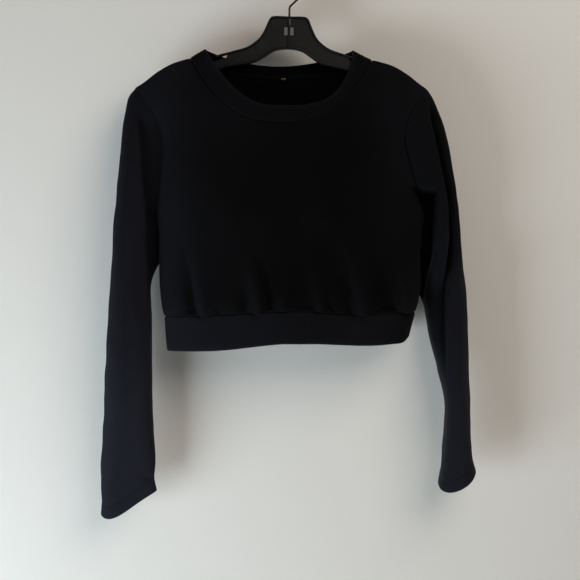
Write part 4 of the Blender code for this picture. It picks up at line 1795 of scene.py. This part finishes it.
# Painted light on the front and the back at some places across, lightest at the viewer's left, and on the
# waistband
PANEL_LIGHT = (
    (-225, 0.3),
    (-165, 0.28),
    (-130, 0.14),
    (-70, 0.06),
    (0, 0.02),
    (100, 0.01),
    (150, 0.13),
    (200, 0.24),
)
BAND_LIGHT = ((-178, 0.5), (-130, 0.46), (-60, 0.36), (20, 0.26), (120, 0.33), (178, 0.31))


@dataclass
class Garment:
    """The sweatshirt: front, back, two sleeves, neckband, waistband and the label's remnant."""

    skin: Skin
    fleece: Material
    thread: Material
    tape: Material
    stitch: CoverStitch = field(default_factory=CoverStitch)
    pitch: float = 2.2
    armhole_row: float = 16.0
    side_row: float = 29.4
    sleeve_round: float = 240.0
    sleeve_pitch: float = 2.6
    sleeve_reads: int = 200
    ring_reads: int = 481
    neck_columns: int = 132
    neck_crowding: float = 0.85
    seam_ease: float = 9.0
    waist_ease: float = 3.5
    cuff_ease: float = 26.0
    cuff_swell: float = 0.25
    cuff_hem: float = 17.6
    cuff_fold: float = 0.9
    allowance: float = 2.6
    swells: tuple[Pair, ...] = ((95, 3.2), (33, 1.0))
    panel_seed: float = 7.0
    sleeve_swells: tuple[Pair, ...] = ((80, 2.4), (27, 1.1))
    sleeve_seeds: Pair = (11.0, 23.0)
    band_swell: Pair = (30, 0.9)
    band_seed: float = 5.0
    shoulder_seam_drop: float = 5.0
    shoulder_seam_wide: float = 1.1
    shoulder_seam_deep: float = 1.1
    band_thick: float = 3.2
    band_proud: float = 0.5
    band_fold: float = 1.6
    neck_tall: float = 21.0
    neck_pitch: float = 1.2
    neck_peaks: tuple[Place, Place] = ((-120.6, -112.9), (91.8, -114.4))
    neck_levels: Pair = (-198.2, -134.2)
    neck_turns: tuple[Pair, Pair] = ((2.3, 1.0), (3.5, 0.6))
    neck_depths: Pair = (-30.0, 21.0)
    neck_plan: float = 0.44
    neck_swell: float = 1.6
    waist_tall: float = 48.0
    # Painted highlight on the creases' ridges and painted shade in their troughs
    crease_light_and_shade: float = 0.021
    band_seam: Pair = (1.7, 0.04)
    waist_seam: Pair = (1.7, 0.16)
    under_seam: Pair = (1.0, 0.1)
    neck_fade: float = 0.12
    # Painted light over the shoulders, and a lighter floor of painted light on the back
    shoulder_light: float = 0.1
    back_light_floor: float = 0.26
    shoulder_light_foot: float = -290.0
    shoulder_light_reach: float = 150.0
    waist_half: Pair = (-176.2, 173.2)

    def rows(self) -> Array:
        """Spaces a panel's rows, down the armhole and the side seam.

        Returns:
            The rows' places.
        """
        armhole = self.skin.armhole_rows * self.armhole_row
        down = spaced(armhole + self.skin.side_rows * self.side_row, self.pitch)
        side = self.skin.armhole_rows + (down - armhole) / self.side_row
        return np.where(down < armhole, down / self.armhole_row, side)

    def neck_places(self) -> Array:
        """Spaces the columns of the neckline, closer together near the neck points.

        Returns:
            Their places across, in millimetres.
        """
        even = np.linspace(-1, 1, self.neck_columns + 1)
        t = lerp(even, np.sin(even * math.pi / 2), self.neck_crowding)
        return lerp(self.skin.neck_left[0], self.skin.neck_right[0], (t + 1) / 2)

    def shares(self) -> Array:
        """Spaces a panel's columns.

        Returns:
            Their places, from 0 at its left edge to 1 at its right one.
        """
        left, right = self.skin.tip_left[0], self.skin.tip_right[0]
        neck = self.neck_places()
        before = left + spaced(neck[0] - left, self.pitch, last=False)
        after = neck[-1] + spaced(right - neck[-1], self.pitch, first=False)
        places = np.concatenate([before, neck[1:-1], after])
        return (places - left) / (right - left)

    def share_of(self, x: Array) -> Array:
        """The column share of places along a panel's top."""
        return (x - self.skin.tip_left[0]) / (self.skin.tip_right[0] - self.skin.tip_left[0])

    def neckline(self, face: Face, x: Array) -> Array:
        """Points of a panel's neckline."""
        return self.skin.panel(face, np.zeros(1), self.share_of(x))[0]

    def swell(self, cloth: Cloth, swells: Sequence[Pair], seed: float) -> Array:
        """The cloth's slow unevenness: a sum of swells, each with its size and its height."""
        return sum(high * wandering(cloth.points, size, seed + size) for size, high in swells)

    def panel(self, face: Face) -> Piece:
        """Makes the front or the back, with its creases and its seams.

        Args:
            face: which panel.

        Returns:
            The finished object.
        """
        skin, rows = self.skin, self.rows()
        front = face is Face.FRONT
        grid = skin.panel(face, rows, self.shares())
        level = np.zeros(grid.shape[:-1], bool)
        level[0] = skin.beside_neck(grid[0, :, 0])
        below = rows > skin.armhole_rows
        level[below, 0] = level[below, -1] = True
        turn = 1 if front else -1
        cloth = Cloth(f"{face.value}_cloth", grid[:, ::turn], level=level[:, ::turn])
        neck = self.neckline(face, self.neck_places())
        sides = np.concatenate([grid[:, 0], grid[:, -1]])
        x, z = cloth.points[..., 0], cloth.points[..., 2]
        fixed = np.concatenate([neck, sides, grid[0, level[0]]])
        ease = smooth_step(cloth.near(fixed) / self.seam_ease)
        waist = smooth_step(cloth.near(grid[-1]) / self.waist_ease)
        folds = creased(PANEL_CREASES[face], x, z) * ease * waist
        lift = folds + self.swell(cloth, self.swells, self.panel_seed * turn) * ease * waist
        if front:
            drop = (skin.ridge(x) - z - self.shoulder_seam_drop) / self.shoulder_seam_wide
            lift -= self.shoulder_seam_deep * np.exp(-(drop**2)) * skin.beside_neck(x)
        cloth.lift(lift)
        # Painted light across the panel, with a painted highlight on the creases' ridges and painted shade in
        # their troughs
        cloth.faded_and_lit = np.maximum(self.panel_light(face, cloth) + self.crease_light_and_shade * folds, 0)
        seams = [Seam(neck, *self.band_seam), Seam(grid[-1], *self.waist_seam)]
        seams += [Seam(edge, *ARMHOLE_SEAMS[side]) for side, edge in zip(Side, (grid[:, 0], grid[:, -1]))]
        return cloth.shell(seams)

    def sleeve(self, side: Side) -> Cloth:
        """Shapes a sleeve, with its falls, its creases and room for its turned hem.

        Args:
            side: which sleeve.

        Returns:
            Its cloth, still without a wall.
        """
        skin = self.skin
        at = np.linspace(0, 1, self.sleeve_reads)
        middle = (skin.sleeve(side, at, 0.0) + skin.sleeve(side, at, 180.0)) / 2
        run = np.pad(np.cumsum(np.linalg.norm(np.diff(middle, axis=0), axis=1)), (1, 0))
        down = crowded(spaced(run[-1], self.pitch), [run[-1] - high for high in self.stitch.heights])
        turns = np.linspace(180, 540, self.ring_reads)
        if side is Side.RIGHT:
            turns = turns[::-1]
        rings = skin.sleeve(side, np.interp(down, run, at)[:, None], turns[None, :])
        shares = spaced(self.sleeve_round, self.sleeve_pitch)[:-1] / self.sleeve_round
        cloth = Cloth(
            f"sleeve_{side.value}_cloth",
            evened(rings, shares),
            round_it=True,
            fold=self.cuff_fold,
            hem=self.cuff_hem,
            hem_lines=self.stitch.heights,
            tucked=self.allowance,
        )
        seam = np.concatenate([cloth.points[0], cloth.points[:, 0]])
        ease = smooth_step(cloth.near(seam) / self.seam_ease)
        ease *= lerp(self.cuff_swell, 1.0, smooth_step((run[-1] - down) / self.cuff_ease))[:, None]
        x, z = cloth.points[..., 0], cloth.points[..., 2]
        facing = cloth.normals()[..., 1]
        lift = self.swell(cloth, self.sleeve_swells, self.sleeve_seeds[side is Side.RIGHT])
        for face, way in ((Face.FRONT, -2), (Face.BACK, 2)):
            lift += creased(SLEEVE_CREASES[side, face], x, z) * smooth_step(way * facing)
        cloth.lift(lift * ease)
        return cloth

    def sleeve_fade(self, side: Side, cloth: Cloth) -> Array:
        """Works out a sleeve's painted light: by its height and the way it turns, and painted shade where it
        falls back.

        Args:
            side: which sleeve.
            cloth: its cloth.

        Returns:
            The painted light at each point.
        """
        heights, shares = zip(*SLEEVE_LIGHT[side][::-1])
        faded_and_lit = through(heights, shares, cloth.points[..., 2])
        kept = self.skin.kept(side, cloth.points[..., 0], cloth.points[..., 2], "light_kept")
        to_left, to_right = SLEEVE_TURN_LIGHT[side]
        turn = cloth.normals()[..., 0]
        turned = 1 + to_left * np.maximum(-turn, 0) + to_right * np.maximum(turn, 0)
        return faded_and_lit * turned * kept

    def panel_light(self, face: Face, cloth: Cloth) -> Array:
        """Works out a panel's painted light: most at the viewer's left and over the shoulders, and a floor on
        the back.

        Args:
            face: which panel.
            cloth: its cloth.

        Returns:
            The painted light at each point.
        """
        faded_and_lit = through(*zip(*PANEL_LIGHT), cloth.points[..., 0])
        if face is Face.BACK:
            faded_and_lit = np.maximum(faded_and_lit, self.back_light_floor)
        over = smooth_step((cloth.points[..., 2] - self.shoulder_light_foot) / self.shoulder_light_reach)
        return faded_and_lit + self.shoulder_light * over

    def neckband(self) -> Piece:
        """Makes the folded band round the neck.

        Returns:
            The finished object.
        """
        skin = self.skin
        x = self.neck_places()
        t = skin.neck_share(x)
        up = spaced(self.neck_tall, self.neck_pitch)[:, None, None] / self.neck_tall
        (left, left_top), (right, right_top) = self.neck_peaks
        halves = []
        for face, level, depth in zip(Face, self.neck_levels, self.neck_depths):
            full = (1 - t * t) ** self.neck_plan
            peaks = np.where(t < 0, left_top, right_top)
            turns = (1 - (1 - np.abs(t) ** turn) ** close for turn, close in self.neck_turns)
            rise = np.where(t < 0, *turns) if face is Face.FRONT else t * t
            high = [lerp(left, right, (t + 1) / 2), depth * full, lerp(level, peaks, rise)]
            band = lerp(self.neckline(face, x)[None], np.stack(high, axis=-1)[None], up)
            bulge = 4 * up * (1 - up)
            band[..., 1] += math.copysign(self.neck_swell, depth) * bulge[..., 0] * (1 - t * t)
            halves.append(band)
        grid = np.concatenate([halves[0][:, ::-1], halves[1][:, 1:-1]], axis=1)
        return self.band("neckband_cloth", grid, self.neck_fade)

    def waistband(self) -> Piece:
        """Makes the folded band round the waist.

        Returns:
            The finished object.
        """
        skin = self.skin
        last = np.array([skin.armhole_rows + skin.side_rows])
        shares = self.shares()
        down = spaced(self.waist_tall, self.pitch)[:, None, None] / self.waist_tall
        halves = []
        for face in Face:
            seam = skin.panel(face, last, shares)[0]
            x = lerp(*self.waist_half, shares)
            low = np.stack([x, seam[:, 1], along_edge(WAIST_HEM[face], x)], axis=-1)
            halves.append(lerp(seam[None], low[None], down))
        grid = np.concatenate([halves[0], halves[1][:, -2:0:-1]], axis=1)
        return self.band("waistband_cloth", grid, through(*zip(*BAND_LIGHT), grid[..., 0]))

    def band(self, name: str, grid: Array, faded_and_lit: Array | float) -> Piece:
        """Makes a doubled band.

        Args:
            name: name of the object.
            grid: its points, from its seam to its fold.
            faded_and_lit: how it has faded.

        Returns:
            The finished object.
        """
        cloth = Cloth(
            name,
            grid,
            round_it=True,
            thick=self.band_thick,
            proud=self.band_proud,
            fold=self.band_fold,
            tucked=self.allowance,
            faded_and_lit=faded_and_lit,
        )
        seam = cloth.points[0]
        size, high = self.band_swell
        ease = smooth_step(cloth.near(seam) / self.seam_ease)
        cloth.lift(high * wandering(cloth.points, size, self.band_seed) * ease)
        return cloth.shell([Seam(seam, *self.band_seam)])

    def declared(self, made: Piece) -> None:
        """Gives a cloth piece its finish and hides the CAD node that it replaces.

        Args:
            made: the piece.
        """
        node = made.name.removesuffix("_cloth")
        settled(made, self.fleece, Slot.CLOTH, node)

    def build(self) -> None:
        """Makes every piece of the garment."""
        for face in Face:
            self.declared(self.panel(face))
        bead = self.stitch.bead()
        for side in Side:
            cloth = self.sleeve(side)
            # Painted light and shade on the sleeve
            cloth.faded_and_lit = self.sleeve_fade(side, cloth)
            seams = [Seam(cloth.points[0], *ARMHOLE_SEAMS[side]), Seam(cloth.points[:, 0], *self.under_seam)]
            self.declared(cloth.shell(seams))
            stitches = self.stitch.round_hem(f"cuff_stitches_{side.value}", cloth, bead)
            settled(stitches, self.thread, Slot.CLOTH)
        bpy.data.objects.remove(bead)
        self.declared(self.neckband())
        self.declared(self.waistband())
        LabelRemnant().build(self.tape)


@dataclass
class Hanger:
    """Moulded hanger: a flanged plate with an arch, two arms, strap notches, a boss and a hook.

    It is drawn upright from the middle of its flat top, then tilted and hung in its place.
    """

    plastic: Material
    pad: Material
    wire: Material
    tilt: float = 1.6
    shift: float = 2.3
    drop: float = -66.1
    thick: float = 8.4
    rim: float = 2.6
    pocket: float = 3.0
    draft: float = 0.5
    edge: float = 0.7
    stations: int = 56
    upper: tuple[Place, ...] = (
        (0.0, 0.0),
        (23.0, 0.0),
        (27.6, -2.6),
        (31.2, -10.0),
        (36.3, -22.0),
        (43.5, -33.4),
        (58.7, -45.0),
        (79.8, -52.0),
        (100.0, -58.0),
        (130.5, -69.0),
        (159.5, -79.5),
        (179.8, -91.0),
        (192.0, -102.0),
        (196.0, -110.0),
    )
    lower: tuple[Place, ...] = (
        (0.0, -46.9),
        (19.0, -49.9),
        (33.0, -58.6),
        (46.0, -66.4),
        (57.0, -69.4),
        (105.0, -79.5),
        (150.0, -94.5),
        (173.0, -105.0),
        (190.0, -115.5),
    )
    boss: Triple = (2.9, -1.0, -12.5)
    rib: tuple[Place, ...] = ((-1.2, -29.0), (1.0, -29.0), (0.8, -42.5), (-1.0, -42.5))
    rib_sunk: float = 0.6
    post_sides: int = 24
    post_chamfer: float = 0.2
    bore: Triple = (1.8, 1.0, -18.0)
    block: tuple[Place, ...] = ((88.5, -61.0), (78.5, -70.0), (80.0, -73.0), (114.0, -84.0), (117.0, -64.0))
    block_sunk: float = 0.9
    notch: tuple[Place, ...] = (
        (88.0, -57.6),
        (89.6, -62.2),
        (111.0, -69.6),
        (113.0, -50.0),
        (106.0, -50.0),
        (104.5, -61.8),
    )
    pad_inner: float = 1.9
    pad_outer: float = 6.8
    pad_top: float = -15.6
    pad_foot: float = -27.2
    pad_thick: float = 1.4
    pad_gap: float = 0.36
    pad_rim: float = 0.7
    pad_dish: float = 0.18
    pad_edge: float = 0.3
    wire_radius: float = 1.5
    wire_sides: int = 20
    head_radius: float = 2.3
    head_level: float = -17.5
    head_sides: int = 24
    head_rings: int = 14
    stem: float = 14.5
    bend: float = 6.0
    bend_turn: float = 45.0
    bend_steps: int = 8
    hook_radius: float = 22.0
    hook_turn: float = 257.0
    hook_steps: int = 54
    tip_inset: float = 0.55

    def place(self) -> Matrix:
        """Where the hanger hangs."""
        tilted = Matrix.Rotation(math.radians(self.tilt), 4, "Y") @ Matrix.Translation((0, 0, self.drop * MM))
        return Matrix.Translation((self.shift * MM, 0, 0)) @ tilted

    def paced(self, outline: Sequence[Place]) -> list[Place]:
        """Takes even steps along half of an outline, level where it crosses the middle.

        Args:
            outline: its places, from the middle outwards.

        Returns:
            The places of the steps.
        """
        places = np.array([(-outline[1][0], outline[1][1]), *outline])
        keys = np.cumsum(np.pad(np.hypot(*np.diff(places, axis=0).T), (1, 0)))
        at = np.linspace(keys[1], keys[-1], self.stations)
        x, z = (through(keys, places[:, axis], at) for axis in (0, 1))
        x[0] = 0.0
        return list(zip(x.tolist(), z.tolist()))

    def flanged_plate(self) -> Piece:
        """Models the plate and its arms: a mirrored slab with a sloping pocket in each face.

        Returns:
            The plate.
        """
        lines = [
            drawn_line("hanger_moulding", self.paced(self.upper), -self.thick / 2),
            drawn_line("lower_line", self.paced(self.lower), -self.thick / 2),
        ]
        made = joined(lines)
        with editing(made):
            bpy.ops.mesh.select_mode(type="EDGE")
            bpy.ops.mesh.bridge_edge_loops()
        changed(made, "MIRROR", merge_threshold=0.0001)
        with editing(made):
            bpy.ops.mesh.extrude_region_move(TRANSFORM_OT_translate=pulled(y=self.thick))
        made_solid(made)
        with editing(made) as mesh:
            for way in (-1, 1):
                choose(mesh, "FACE", lambda face: face.normal.y * way > FACING)
                bpy.ops.mesh.inset(thickness=self.rim * MM, depth=0)
                bpy.ops.mesh.inset(thickness=self.draft * MM, depth=-self.pocket * MM)
        eased(made, self.edge)
        return made

    def body(self) -> Piece:
        """Models the moulding: the plate with its boss, rib, blocks and bore, and a notch in each arm.

        Returns:
            The finished mesh, still upright.
        """
        made = self.flanged_plate()
        combined(made, self.post("boss", *self.boss), "UNION")
        depth = self.thick / 2 - self.rib_sunk
        combined(made, plate("rib", self.rib, -depth, 2 * depth), "UNION")
        for way in (-1, 1):
            outline = [(way * x, z) for x, z in self.block]
            depth = self.thick / 2 - self.block_sunk
            combined(made, plate("block", outline, -depth, 2 * depth), "UNION")
            outline = [(way * x, z) for x, z in self.notch]
            combined(made, plate("notch", outline, -self.thick, 2 * self.thick), "DIFFERENCE")
        combined(made, self.post("bore", *self.bore), "DIFFERENCE")
        made_solid(made)
        smoothed(made, sharpest=35)
        changed(made, "WEIGHTED_NORMAL", keep_sharp=True)
        return made

    def post(self, name: str, radius: float, top: float, foot: float) -> Piece:
        """Models a round post on the hanger's middle line.

        Args:
            name: name of the object.
            radius: its radius.
            top: height of its top.
            foot: height of its foot.

        Returns:
            The post.
        """
        made = fresh(
            name,
            bpy.ops.mesh.primitive_cylinder_add,
            (0, 0, (top + foot) / 2),
            vertices=self.post_sides,
            radius=radius * MM,
            depth=(top - foot) * MM,
        )
        with editing(made) as mesh:
            choose(mesh, "FACE", lambda face: abs(face.normal.z) > FACING)
            bpy.ops.mesh.bevel(offset=radius * self.post_chamfer * MM, segments=2)
        return made

    def pads(self) -> list[Piece]:
        """Models the two plain pads beside the wire's end.

        Returns:
            The pads, still upright.
        """
        made = []
        y = -(self.thick / 2 - self.pocket) - self.pad_gap - self.pad_thick / 2
        size = (self.pad_outer - self.pad_inner, self.pad_thick, self.pad_top - self.pad_foot)
        for side, way in zip(Side, (-1, 1)):
            place = (way * (self.pad_inner + self.pad_outer) / 2, y, (self.pad_top + self.pad_foot) / 2)
            name, scale = f"pad_{side.value}_moulding", [c * MM for c in size]
            pad = fresh(name, bpy.ops.mesh.primitive_cube_add, place, size=1, scale=scale)
            with editing(pad) as mesh:
                choose(mesh, "FACE", lambda face: face.normal.y < -FACING)
                bpy.ops.mesh.inset(thickness=self.pad_rim * MM, depth=self.pad_dish * MM)
            eased(pad, self.pad_edge, steps=3, sharpest=8)
            made.append(pad)
        return made

    def hook(self) -> Piece:
        """Bends the hook from a round section: a headed stem, a slant and most of a circle.

        Returns:
            The finished mesh, still upright.
        """
        foot = self.head_level
        made = fresh(
            "hook_wire",
            bpy.ops.mesh.primitive_circle_add,
            (0, 0, foot),
            vertices=self.wire_sides,
            radius=self.wire_radius * MM,
            fill_type="NGON",
        )
        turn = math.radians(self.bend_turn)
        reach = self.bend * math.tan(turn / 2)
        start = self.hook_radius * math.sin(turn)
        slant = start / math.sin(turn) - reach
        run = math.sin(turn) * slant
        level = self.stem + self.hook_radius / math.cos(turn)
        with editing(made):
            bpy.ops.mesh.extrude_region_move(TRANSFORM_OT_translate=pulled(z=self.stem - reach - foot))
            bend = (self.bend * MM, 0, (self.stem - reach) * MM)
            bpy.ops.mesh.spin(steps=self.bend_steps, angle=-turn, center=bend, axis=(0, 1, 0))
            bpy.ops.mesh.extrude_region_move(TRANSFORM_OT_translate=pulled(x=run, z=run))
            centre = (0, 0, level * MM)
            angle = math.radians(self.hook_turn)
            bpy.ops.mesh.spin(steps=self.hook_steps, angle=angle, center=centre, axis=(0, 1, 0))
            bpy.ops.mesh.inset(thickness=self.tip_inset * MM, depth=self.tip_inset * MM)
            bpy.ops.mesh.inset(thickness=self.tip_inset * MM, depth=self.tip_inset / 2 * MM)
        made_solid(made)
        head = fresh(
            "head",
            bpy.ops.mesh.primitive_uv_sphere_add,
            (0, 0, foot),
            segments=self.head_sides,
            ring_count=self.head_rings,
            radius=self.head_radius * MM,
        )
        combined(made, head, "UNION")
        made_solid(made)
        smoothed(made, sharpest=40)
        return made

    def build(self) -> None:
        """Makes the hanger's pieces and hangs them."""
        body, hook, pads = self.body(), self.hook(), self.pads()
        for made in (body, hook, *pads):
            fitted(made, self.place())
        settled(body, self.plastic, Slot.PLASTIC, "hanger_body")
        settled(hook, self.wire, Slot.WIRE, "hanger_hook")
        for side, pad in zip(Side, pads):
            settled(pad, self.pad, Slot.PAD, f"pad_{side.value}")


class Lamp(NamedTuple):
    """A soft square light: its place, what it shines at, its size, power and colour."""

    name: str
    place: Triple
    aim: Triple
    size: float
    power: float
    colour: Colour


LAMPS = (
    Lamp("key", (-1250, -850, -1350), (-100, 0, -520), 1000, 29.0, (0.80, 0.92, 1.0)),
    Lamp("fill", (1000, -1500, 600), (0, 0, -450), 1400, 20.0, (1.0, 0.9, 0.8)),
    Lamp("rear", (-300, 2000, 400), (0, 0, -450), 1500, 52.0, (1.0, 1.0, 1.0)),
)


@dataclass(frozen=True)
class Studio:
    """Wall, floor, lights and camera."""

    wall: RollerPaint = RollerPaint("wall_paint", (0.80, 0.78, 0.74), (0.76, 0.745, 0.71), one_sided=True)
    floor: RollerPaint = RollerPaint("floor_paint", (0.62, 0.60, 0.56), (0.58, 0.565, 0.53))
    size: float = 6000.0
    wall_place: Triple = (0, 56, -500)
    floor_place: Triple = (0, 0, -1650)
    world: Colour = (0.8, 0.82, 0.85)
    world_strength: float = 0.12
    camera_place: Triple = (1.5, -1800.0, -462.0)
    lens: float = 77.05
    sensor: float = 36.0

    def backdrop(self, name: str, place: Sequence[float], upright: bool, paint: RollerPaint) -> Piece:
        """Adds a flat backdrop.

        Args:
            name: name of the object.
            place: its centre.
            upright: whether it stands like a wall.
            paint: its paint.

        Returns:
            The backdrop.
        """
        turn = (math.pi / 2 if upright else 0.0, 0.0, 0.0)
        made = fresh(name, bpy.ops.mesh.primitive_plane_add, place, size=self.size * MM, rotation=turn)
        made.data.materials.append(paint.material())
        return made

    def lit(self, lamp: Lamp) -> None:
        """Adds a light.

        Args:
            lamp: its place, aim, size, power and colour.
        """
        data = bpy.data.lights.new(lamp.name, "AREA")
        data.shape = "SQUARE"
        data.size = lamp.size * MM
        data.energy = lamp.power
        data.color = lamp.colour
        made = linked(lamp.name, data)
        made.location = Vector(lamp.place) * MM
        made.rotation_euler = (Vector(lamp.aim) - Vector(lamp.place)).to_track_quat("-Z", "Y").to_euler()

    def build(self) -> None:
        """Sets up the room, the lights and the camera."""
        wall = self.backdrop("wall", self.wall_place, True, self.wall)
        wall.visible_shadow = False
        self.backdrop("floor", self.floor_place, False, self.floor)
        for lamp in LAMPS:
            self.lit(lamp)
        world = bpy.data.worlds.new("studio")
        bpy.context.scene.world = world
        world.use_nodes = True
        world.node_tree.nodes["Background"].inputs["Color"].default_value = (*self.world, 1)
        world.node_tree.nodes["Background"].inputs["Strength"].default_value = self.world_strength
        data = bpy.data.cameras.new("camera")
        data.sensor_width, data.lens = self.sensor, self.lens
        camera = linked("camera", data)
        camera.location = Vector(self.camera_place) * MM
        camera.rotation_euler = (math.pi / 2, 0, 0)
        bpy.context.scene.camera = camera
        bpy.context.scene.view_settings.view_transform = "Standard"


def main() -> None:
    """Builds the studio and the pieces in order."""
    logging.basicConfig(level=logging.INFO, format="%(name)s: %(message)s")
    Studio().build()
    Garment(Skin(), FleeceJersey().material(), SewingThread().material(), WovenTape().material()).build()
    plastic = HangerPlastic("black_plastic", (0.0050, 0.0050, 0.0050), (0.014, 0.0139, 0.0136))
    pad = MouldedPlastic("grey_plastic", (0.115, 0.115, 0.116), (0.17, 0.17, 0.168), (0.45, 0.56))
    Hanger(plastic.material(), pad.material(), BronzedWire().material()).build()


if __name__ == "__main__":
    main()
